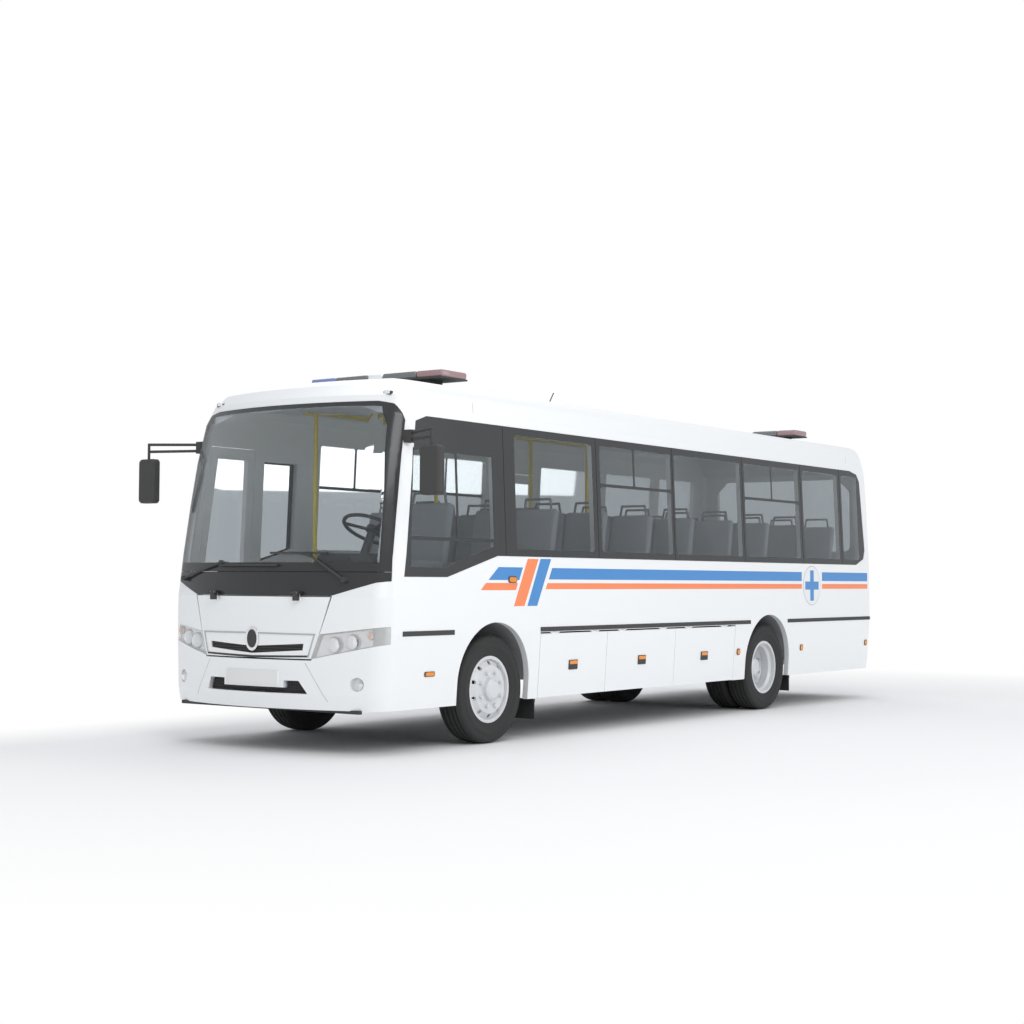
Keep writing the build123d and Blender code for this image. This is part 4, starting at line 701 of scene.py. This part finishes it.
@dataclass
class Seats:
    """Padded double seats with rounded backs and a grab loop, and the driver's seat."""

    pitch: float = 0.76
    first: float = -2.36
    rows: int = 8
    inner: float = 0.165
    outer: float = 1.010
    top: float = 1.42
    back_top: float = 1.862
    depth: float = 0.43
    doorway: Point2 = (-0.045, 0.755)
    door_gap: float = 0.06
    # The driver's seat: its sides and its front.
    driver: Point3 = (0.43, 0.91, -3.66)
    back_lean: float = 80
    loop_radius: float = 0.011

    def pad(self, name: str, size: Point3, crown: float) -> bpy.types.Object:
        """A crowned pad about its own middle, with its corners pulled in."""
        deselect()
        bpy.ops.mesh.primitive_cube_add(size=1)
        piece = bpy.context.object
        piece.scale = size
        piece = settle(piece, name, CLOTH)
        bevelled(piece, min(size) * 0.36, 4)
        bpy.ops.object.mode_set(mode="EDIT")
        bpy.ops.mesh.select_all(action="SELECT")
        bpy.ops.mesh.subdivide(number_cuts=3)
        bpy.ops.object.mode_set(mode="OBJECT")
        for vertex in piece.data.vertices:
            u, v, w = (2 * c / s for c, s in zip(vertex.co, size))
            swell = crown * max(0.0, 1 - u * u) * max(0.0, 1 - v * v)
            vertex.co.z += swell if w > 0 else 0
        bpy.ops.object.shade_smooth_by_angle(angle=radians(50))
        return piece

    def seat(self, index: int, x0: float, x1: float, front: float, places: int) -> bpy.types.Object:
        """One seat's pads at their place; its frame is returned."""
        wide = (x1 - x0) / places
        pads = []
        for place in range(places):
            x = x0 + wide * (place + 0.5)
            base = self.pad("base", (wide - 0.012, self.depth + 0.02, 0.10), 0.010)
            base.data.transform(Matrix.Translation((x, front + self.depth / 2 + 0.01, self.top - 0.058)))
            back = self.pad("back", (wide - 0.014, 0.50, 0.072), 0.012)
            lean = Matrix.Rotation(radians(self.back_lean), 4, "X")
            lift = Matrix.Translation((x, front + self.depth + 0.066, self.top + 0.196))
            back.data.transform(lift @ lean)
            pads += [base, back]
        whole = joined(f"seat_pads_{index}", pads)
        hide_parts("seats")
        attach(whole, "bus")
        loops = []
        for place in range(places):
            a, b = x0 + wide * place + 0.07, x0 + wide * (place + 1) - 0.07
            y, low, high = front + self.depth + 0.118, self.back_top - 0.03, self.back_top + 0.085
            runs = (
                ((a, y - 0.004, low), (a + 0.02, y, high)),
                ((b, y - 0.004, low), (b - 0.02, y, high)),
                ((a + 0.014, y, high), (b - 0.014, y, high)),
            )
            loops += [bar("loop", start, end, self.loop_radius, LOOP_GREY, 12) for start, end in runs]
        for x in (x0 + 0.06, x1 - 0.10):
            low = (x, front + 0.09, CABIN_FLOOR_Z)
            high = (x + 0.04, front + self.depth - 0.02, self.top - 0.09)
            loops.append(box("leg", low, high, CHASSIS, 0.006))
        return joined(f"seat_frame_{index}", loops)

    def build(self) -> None:
        """Fill the saloon."""
        frames = [self.seat(0, *self.driver, 1)]
        for row in range(self.rows):
            front = self.first + row * self.pitch
            frames.append(self.seat(len(frames), self.inner, self.outer, front, 2))
            rear = front + self.depth + 0.16
            if rear < self.doorway[0] - self.door_gap or front > self.doorway[1] + self.door_gap:
                frames.append(self.seat(len(frames), -self.outer, -self.inner, front, 2))
        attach(joined("seat_frames", frames), "bus")
        LOG.info("seats filled")


@dataclass
class Lamps:
    """Side lamps, headlamp and fog lamp insides, clearance lamps and the beacon bars."""

    # (thickness, lift of its middle) of a wall lamp's dark foot and of its lens.
    foot: Point2 = (0.006, 0.0032)
    lens: Point2 = (0.008, 0.0062)
    # Wall lamps: name, (y, z) and (width, height).
    wall_lamps: tuple = (
        ("turn", (-2.583, 1.276), (0.11, 0.05)), ("round", (1.197, 0.593), (0.062, 0.062)),
        ("round", (2.564, 0.596), (0.062, 0.062)), ("round", (4.157, 0.606), (0.062, 0.062)),
    )
    # The lamp ahead of the left front wheel; the right side has its door there.
    low_lamp: tuple = ((-3.612, 0.573), (0.120, 0.037))
    # The middle of each flap's marker, as (y, z).
    markers: tuple = (
        ("flap_front", -1.692, 0.575), ("flap_middle", -0.596, 0.578), ("flap_rear", 0.526, 0.577),
    )
    # Lamps behind a headlamp's lens: x, z, radius and finish; then the outline of the bowl behind them.
    spots: tuple = ((0.697, 0.795, 0.050, BULB), (0.832, 0.816, 0.048, BULB), (0.966, 0.866, 0.020, AMBER))
    bowl: tuple = ((0.548, 0.702), (0.607, 0.862), (0.974, 0.908), (0.974, 0.792))
    bowl_lift: float = -0.034
    # (how much wider than the lamp, how deep behind the lens) of its dark and its bright rim.
    dark_rim: Point2 = (0.011, 0.028)
    bright_rim: Point2 = (0.006, 0.024)
    lamp_depth: float = 0.018
    lamp_thick: float = 0.010
    fog: Point3 = (0.88, -4.182, 0.514)
    fog_radius: float = 0.046
    # Beacon bars: half length, front, rear, foot and top; then their runs, in shares of the half length.
    bars: tuple = ((0.690, -3.003, -2.650, 2.862, 2.931), (0.600, 3.400, 3.700, 2.858, 2.931))
    runs: tuple = (
        (-1.0, -0.62, BEACON_BLUE), (-0.615, -0.115, BEACON_CLEAR), (-0.11, 0.11, WHITE),
        (0.115, 0.615, BEACON_CLEAR), (0.62, 1.0, BEACON_ROSE),
    )
    foot_share: float = 0.65
    # Clearance lamps: place across; then finish, half width, y range, z range and edge of lens and foot.
    clearance_x: float = 0.862
    clearance: tuple = (
        (BULB, 0.030, (-3.875, -3.845), (2.640, 2.672), 0.008),
        (BLACK, 0.035, (-3.872, -3.840), (2.636, 2.664), 0.004),
    )

    def plate(self, name: str, outline: list[Point2], finish: Finish, side: Side) -> bpy.types.Object:
        """A wall lamp's dark foot, or the lens over it."""
        thick, lift = self.foot if finish is BLACK else self.lens
        return on_wall(sheet_shape(name, outline, finish, thick), side, lift)

    def side_lamp(self, name: str, at: Point2, size: Point2, side: Side) -> bpy.types.Object:
        """A small amber lens on a dark foot, on one side wall."""
        (y, z), (w, h) = at, size
        foot = rounded(y - w / 2, y + w / 2, z - h / 2, z + h / 2, min(size) * 0.3)
        lens = rounded(y - w * 0.42, y + w * 0.42, z - h * 0.38, z + h * 0.38, min(size) * 0.25)
        return joined(name, [self.plate(name, foot, BLACK, side), self.plate(name, lens, AMBER, side)])

    def marker(self, name: str, y: float, z: float, side: Side, body: str) -> None:
        """A square marker on a flap: dark below, orange above."""
        back = rounded(y - 0.064, y + 0.064, z - 0.040, z + 0.040, 0.008)
        top = rounded(y - 0.056, y + 0.056, z + 0.004, z + 0.034, 0.006)
        parts = [self.plate(name, back, BLACK, side), self.plate(name, top, AMBER, side)]
        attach(joined(name, parts), body)

    def sides(self) -> None:
        """All lamps along the walls."""
        small = [self.side_lamp(name, at, size, side) for side in Side for name, at, size in self.wall_lamps]
        small.append(self.side_lamp("low", *self.low_lamp, Side.LEFT))
        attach(joined("side_lamps", small), "bus")
        for body, y, z in self.markers:
            self.marker(f"marker_{body}", y, z, Side.LEFT, body)

    def head(self) -> None:
        """Round lamps in rims within each headlamp, and the fog lamps."""
        parts = []
        for sign in (1, -1):
            bowl = [(sign * x, z) for x, z in self.bowl]
            parts.append(on_nose(sheet_shape("bowl", bowl, REFLECTOR, 0.002), self.bowl_lift))
            for x, z, r, finish in self.spots:
                y = nose_y(x, z)
                layers = ((*self.dark_rim, IRON), (*self.bright_rim, CHROME), (0.0, self.lamp_depth, finish))
                for wider, depth, skin in layers:
                    start, end = (sign * x, y + depth, z), (sign * x, y + depth - self.lamp_thick, z)
                    parts.append(bar("lamp", start, end, r + wider, skin, 40))
            x, y, z = self.fog
            parts.append(bar("fog", (sign * x, y, z), (sign * x, y - 0.008, z), self.fog_radius, CHROME, 40))
        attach(joined("lamp_insides", parts), "bus")

    def beacons(self) -> None:
        """The two beacon bars: coloured ends, pale lenses, a white middle and black feet."""
        parts = []
        for half, front, rear, foot, top in self.bars:
            for a, b, finish in self.runs:
                low, high = (a * half, front + 0.01, foot + 0.010), (b * half, rear - 0.01, top)
                parts.append(box("lens", low, high, finish, 0.018))
            parts.append(box("tray", (-half, front, foot), (half, rear, foot + 0.014), BLACK, 0.006))
            y = (front + rear) / 2
            for x in (-self.foot_share * half, self.foot_share * half):
                low, high = (x - 0.045, y - 0.10, foot - 0.032), (x + 0.045, y + 0.10, foot + 0.002)
                parts.append(box("foot", low, high, BLACK, 0.006))
        whole = joined("beacon_bars", parts)
        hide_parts("light_bars")
        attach(whole, "bus")
        small = []
        for finish, half, (front, rear), (foot, top), edge in self.clearance:
            for x in (self.clearance_x, -self.clearance_x):
                small.append(box("clear", (x - half, front, foot), (x + half, rear, top), finish, edge))
        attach(joined("clearance_lamps", small), "bus")

    def build(self) -> None:
        """Fit every lamp."""
        self.sides()
        self.head()
        self.beacons()
        LOG.info("lamps fitted")


def oblong(across: Point2, heights: Point2) -> list[Point2]:
    """An upright rectangle's outline from its two ends and its two heights."""
    (x0, x1), (z0, z1) = across, heights
    return [(x0, z0), (x1, z0), (x1, z1), (x0, z1)]


def vee(halves: Point2, first: Point2, second: Point2) -> list[Point2]:
    """A shallow V across the nose: half widths of its two edges, then each edge's (end, middle) heights."""
    a, b = halves
    edge = [(-a, first[0]), (0, first[1]), (a, first[0])]
    return edge + [(b, second[0]), (0, second[1]), (-b, second[0])]


def nose_sheet(
    name: str, outline: Sequence[Point2], finish: Finish, thick: float, lift: float
) -> bpy.types.Object:
    """A flat shape, drawn as (x, z), laid on the nose."""
    return on_nose(sheet_shape(name, outline, finish, thick), lift)


@dataclass
class Front:
    """The nose's trim: grille, plain badge, intake, underrun bar, blank plate and mirrors' glass."""

    grille_bars: Point3 = (0.745, 0.765, 0.785)
    # The slot's end trim, and the grey line of painted shade along the bumper's crease on the left, as (x,
    # z).
    end_trim: tuple = ((0.556, 0.874), (0.566, 0.874), (0.512, 0.700), (0.502, 0.700))
    crease: tuple = ((0.480, 0.663), (0.4845, 0.663), (0.6655, 0.383), (0.661, 0.383))
    # The lid's hinges: their place across, and their pin as (y, z) with its cover's half length and radius.
    hinge_x: float = 0.42
    pin: Point2 = (-4.364, 1.172)
    pin_cover: Point2 = (0.0205, 0.0097)
    badge_z: float = 0.829
    # The badge's rings: half width, half height, finish and lift.
    rings: tuple = ((0.068, 0.090, CHROME, 0.003), (0.047, 0.068, BLACK, 0.0050))
    wire_half: float = 0.0015
    wire_pitch: float = 0.02

    def lid(self) -> None:
        """What moves with the front lid."""
        parts = [
            nose_sheet("trim", vee((0.565, 0.565), (0.862, 0.866), (0.874, 0.878)), TRIM_GREY, 0.006, 0.001),
            nose_sheet("line", vee((0.52, 0.50), (0.716, 0.706), (0.702, 0.690)), BLACK, 0.002, 0.0012),
            # The near-black sheet behind the grille's slot is painted shade of the opening.
            nose_sheet("back", oblong((-0.48, 0.48), (0.715, 0.815)), SHADE_SHEET, 0.002, -0.016),
        ]
        for z in self.grille_bars:
            outline = oblong((-0.46, 0.46), (z - 0.003, z + 0.003))
            parts.append(nose_sheet("bar", outline, BLACK, 0.004, -0.010))
        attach(joined("grille_trim", parts), "front_lid")
        edges, covers = [], []
        y, z = self.pin
        half, radius = self.pin_cover
        for sign in (1, -1):
            trim = [(sign * u, v) for u, v in self.end_trim]
            edges.append(nose_sheet("trim", trim, TRIM_GREY, 0.004, 0.002))
            x = sign * self.hinge_x
            low, high = (x - 0.021, -4.3705, 1.1125), (x + 0.021, -4.334, z)
            covers.append(box("hinge_cover", low, high, BLACK, 0.004))
            covers.append(bar("hinge_cover", (x - half, y, z), (x + half, y, z), radius, BLACK, 24))
        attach(joined("lid_edges", edges + covers), "front_lid")
        badge = []
        for half_x, half_z, finish, lift in self.rings:
            oval = [(half_x * u, self.badge_z + half_z * v) for u, v in ring_points((0, 0), 1, 48)]
            badge.append(nose_sheet("plain_badge", oval, finish, 0.005, lift))
        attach(joined("plain_badge", badge), "front_lid")

    def intake(self) -> None:
        """The mesh behind the bumper's intake with a near-black sheet of painted shade behind it, the
        underrun bar, the blank plate and grey lines of painted shade along the bumper's creases.
        """
        w = self.wire_half
        # The near-black sheet behind the wires is painted shade of the intake.
        parts = [nose_sheet("mesh_back", oblong((-0.50, 0.50), (0.425, 0.545)), SHADE_SHEET, 0.002, -0.046)]
        for x in (i * self.wire_pitch for i in range(-24, 25)):
            parts.append(nose_sheet("wire", oblong((x - w, x + w), (0.43, 0.54)), BLACK, 0.002, -0.035))
        for z in (0.445 + i * self.wire_pitch for i in range(5)):
            parts.append(nose_sheet("wire", oblong((-0.48, 0.48), (z - w, z + w)), BLACK, 0.002, -0.034))
        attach(joined("intake_mesh", parts), "bus")
        plate = box("blank_plate", (-0.26, -4.3695, 0.480), (0.26, -4.3665, 0.600), PLATE, 0.001)
        holder = box("plate_holder", (-0.255, -4.3666, 0.484), (0.255, -4.345, 0.596), WHITE, 0.003)
        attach(joined("blank_front_plate", [plate, holder]), "bus")
        guard = [box("underrun_bar", (-0.905, -4.205, 0.300), (0.905, -4.165, 0.328), BLACK, 0.006)]
        for x in (-0.372, 0.372):
            guard.append(box("foot", (x - 0.02, -4.20, 0.320), (x + 0.02, -4.17, 0.60), BLACK, 0.004))
        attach(joined("underrun_guard", guard), "bus")
        # Grey lines of painted shade along the bumper's creases.
        crease_shades = []
        for sign in (1, -1):
            line = [(sign * x, z) for x, z in self.crease]
            crease_shades.append(nose_sheet("crease", line, LINE_GREY_AND_CREASE_SHADE, FILM, FILM_LIFT))
        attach(joined("bumper_creases", crease_shades), "bus")

    def mirrors(self) -> None:
        """The mirrors' glass."""
        panes = []
        for sign in (1, -1):
            outline = rounded(sign * 1.448 - 0.074, sign * 1.448 + 0.074, 1.89, 2.208, 0.024)
            panes.append(upright(sheet_shape("pane", outline, MIRROR, 0.002), 1, -4.0415))
        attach(joined("mirror_glass", panes), "bus")

    def build(self) -> None:
        """Fit the nose."""
        self.lid()
        self.intake()
        self.mirrors()
        mast = bar("roof_antenna", (0.6, -1.363, 2.805), (0.6, -1.294, 2.899), 0.005, BLACK, 12)
        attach(mast, "bus")
        LOG.info("nose trimmed")


@dataclass
class Seams:
    """Thin joint lines where the roof caps and mouldings meet the panels."""

    width: float = 0.005
    caps: Point2 = (-3.040, 3.750)

    def line(self, a: Point2, b: Point2, side: Side) -> bpy.types.Object:
        """One line on a wall between two places, as (y, z)."""
        along = Vector((b[0] - a[0], b[1] - a[1])).normalized()
        off = Vector((-along.y, along.x)) * self.width / 2
        turns = ((a, 1), (a, -1), (b, -1), (b, 1))
        corners = [(y + turn * off.x, z + turn * off.y) for (y, z), turn in turns]
        return on_wall(sheet_shape("seam", corners, LINE_GREY_AND_CREASE_SHADE), side, FILM_LIFT)

    def build(self) -> None:
        """Draw the lines."""
        lines = []
        for side in Side:
            for y in self.caps:
                lines.append(self.line((y, 2.560), (y, 2.635), side))
        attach(joined("seam_lines", lines), "bus")
        LOG.info("seams drawn")


@dataclass
class Stage:
    """The camera, lamps, world and floor."""

    camera_at: Point3 = (9.000, -13.663, 1.274)
    yaw: float = 35.5428
    pitch: float = 2.2514
    roll: float = 0.3473
    lens: float = 60.627
    # Where the floor starts and ends turning plain white: by distance, and by x on the far side.
    fade: Point2 = (5.5, 10.0)
    far_side: Point2 = (-1.6, -2.8)

    def camera(self) -> None:
        """Put the camera where the photograph was taken from."""
        y, p, r = radians(self.yaw), radians(self.pitch), radians(self.roll)
        ahead = Vector((-sin(y) * cos(p), cos(y) * cos(p), sin(p)))
        right = Vector((cos(y), sin(y), 0))
        up = right.cross(ahead)
        across = cos(r) * right + sin(r) * up
        above = -sin(r) * right + cos(r) * up
        data = bpy.data.cameras.new("photo_camera")
        data.lens = self.lens
        data.sensor_width = 36
        data.clip_end = 200
        eye = bpy.data.objects.new("photo_camera", data)
        bpy.context.collection.objects.link(eye)
        turn = Matrix((across, above, -ahead)).transposed().to_4x4()
        eye.matrix_world = Matrix.Translation(self.camera_at) @ turn
        bpy.context.scene.camera = eye

    def lamp(self, name: str, at: Point3, towards: Point3, size: float, power: float) -> None:
        """One soft square lamp."""
        data = bpy.data.lights.new(name, "AREA")
        data.energy = power
        data.size = size
        lamp = bpy.data.objects.new(name, data)
        bpy.context.collection.objects.link(lamp)
        aim = Vector(towards) - Vector(at)
        lamp.matrix_world = Matrix.Translation(at) @ aim.to_track_quat("-Z", "Y").to_matrix().to_4x4()

    def world(self) -> None:
        """A pale surround that shows white to the camera."""
        world = bpy.data.worlds.new("studio")
        bpy.context.scene.world = world
        world.use_nodes = True
        nodes, links = world.node_tree.nodes, world.node_tree.links
        shade = nodes["Background"]
        shade.inputs["Color"].default_value = (0.93, 0.96, 1.0, 1)
        shade.inputs["Strength"].default_value = 0.62
        white = nodes.new("ShaderNodeBackground")
        white.inputs["Color"].default_value = (1, 1, 1, 1)
        path = nodes.new("ShaderNodeLightPath")
        mix = nodes.new("ShaderNodeMixShader")
        links.new(path.outputs["Is Camera Ray"], mix.inputs["Fac"])
        links.new(shade.outputs["Background"], mix.inputs[1])
        links.new(white.outputs["Background"], mix.inputs[2])
        links.new(mix.outputs["Shader"], nodes["World Output"].inputs["Surface"])

    def floor(self) -> None:
        """A pale floor that keeps the shadow and fades to white far off."""
        deselect()
        bpy.ops.mesh.primitive_plane_add(size=90, location=(0, 0, -0.0005))
        floor = settle(bpy.context.object, "studio_floor", None)
        material = bpy.data.materials.new("studio_floor")
        material.use_nodes = True
        nodes, links = material.node_tree.nodes, material.node_tree.links
        shader = nodes["Principled BSDF"]
        shader.inputs["Base Color"].default_value = (0.90, 0.90, 0.90, 1)
        shader.inputs["Roughness"].default_value = 0.9
        glow = nodes.new("ShaderNodeEmission")
        place = nodes.new("ShaderNodeTexCoord")
        reach = nodes.new("ShaderNodeVectorMath")
        reach.operation = "LENGTH"
        links.new(place.outputs["Object"], reach.inputs[0])
        fade = nodes.new("ShaderNodeMapRange")
        fade.inputs["From Min"].default_value, fade.inputs["From Max"].default_value = self.fade
        links.new(reach.outputs["Value"], fade.inputs["Value"])
        split = nodes.new("ShaderNodeSeparateXYZ")
        links.new(place.outputs["Object"], split.inputs["Vector"])
        far_side = nodes.new("ShaderNodeMapRange")
        far_side.inputs["From Min"].default_value, far_side.inputs["From Max"].default_value = self.far_side
        links.new(split.outputs["X"], far_side.inputs["Value"])
        most = nodes.new("ShaderNodeMath")
        most.operation = "MAXIMUM"
        links.new(fade.outputs["Result"], most.inputs[0])
        links.new(far_side.outputs["Result"], most.inputs[1])
        mix = nodes.new("ShaderNodeMixShader")
        links.new(most.outputs["Value"], mix.inputs["Fac"])
        links.new(shader.outputs["BSDF"], mix.inputs[1])
        links.new(glow.outputs["Emission"], mix.inputs[2])
        links.new(mix.outputs["Shader"], nodes["Material Output"].inputs["Surface"])
        floor.data.materials.append(material)

    def build(self) -> None:
        """Set the stage."""
        bpy.context.scene.view_settings.view_transform = "Standard"
        self.camera()
        self.world()
        self.floor()
        self.lamp("key", (9, -9, 9), (0, 0, 1), 7.0, 520)
        self.lamp("side_fill", (12, 4, 5), (0, 0, 1.2), 7.0, 240)
        self.lamp("top", (0, 0, 11), (0, 0, 0), 9.0, 340)
        self.lamp("back_fill", (-9, 8, 6), (0, 0, 1.2), 7.0, 260)


NODE_FINISH: dict[str, Finish] = {
    name: finish
    for finish, names in (
        (WHITE, "left_wall right_wall roof front_mask front_bumper rear_mask front_lid front_door mid_door"),
        (WHITE, "flap_front flap_middle flap_rear"),
        (CLEAR, "windscreen"),
        (TINTED, "saloon_glazing front_door_glass mid_door_glass"),
        (BAND_BLACK, "cowl_panel"),
        (BLACK, "rub_rails mirrors wipers"),
        (SHEET_RUBBER, "mud_flaps"),
        (LENS, "front_lamps"),
        (RED, "rear_lamps"),
        (BEACON_CLEAR, "light_bars"),
        (CHASSIS, "tanks frame_rails cross_bearers"),
        (IRON, "engine_block front_axle rear_axle knuckle_left knuckle_right"),
        (FLOOR_GREY, "door_steps floor"),
        (CLOTH, "seats"),
        (DASH, "dashboard"),
        (YELLOW, "grab_rails"),
        (SILVER, "wheel_front_left wheel_front_right wheels_rear_left wheels_rear_right"),
        (TYRE, "tyre_front_left tyre_front_right tyres_rear_left tyres_rear_right"),
    )
    for name in names.split()
}


def dress_nodes(nodes: dict[str, bpy.types.Object]) -> None:
    """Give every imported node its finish."""
    for name, node in nodes.items():
        node.data.materials.clear()
        node.data.materials.append(NODE_FINISH[name].build())


def main() -> None:
    """Dress the whole bus."""
    logging.basicConfig(level=logging.INFO)
    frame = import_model()
    dress_nodes(frame["nodes"])
    Stage().build()
    Livery().build()
    Tyres().build()
    Glazing().build(frame["nodes"])
    Seats().build()
    Lamps().build()
    Front().build()
    Seams().build()


if __name__ == "__main__":
    main()
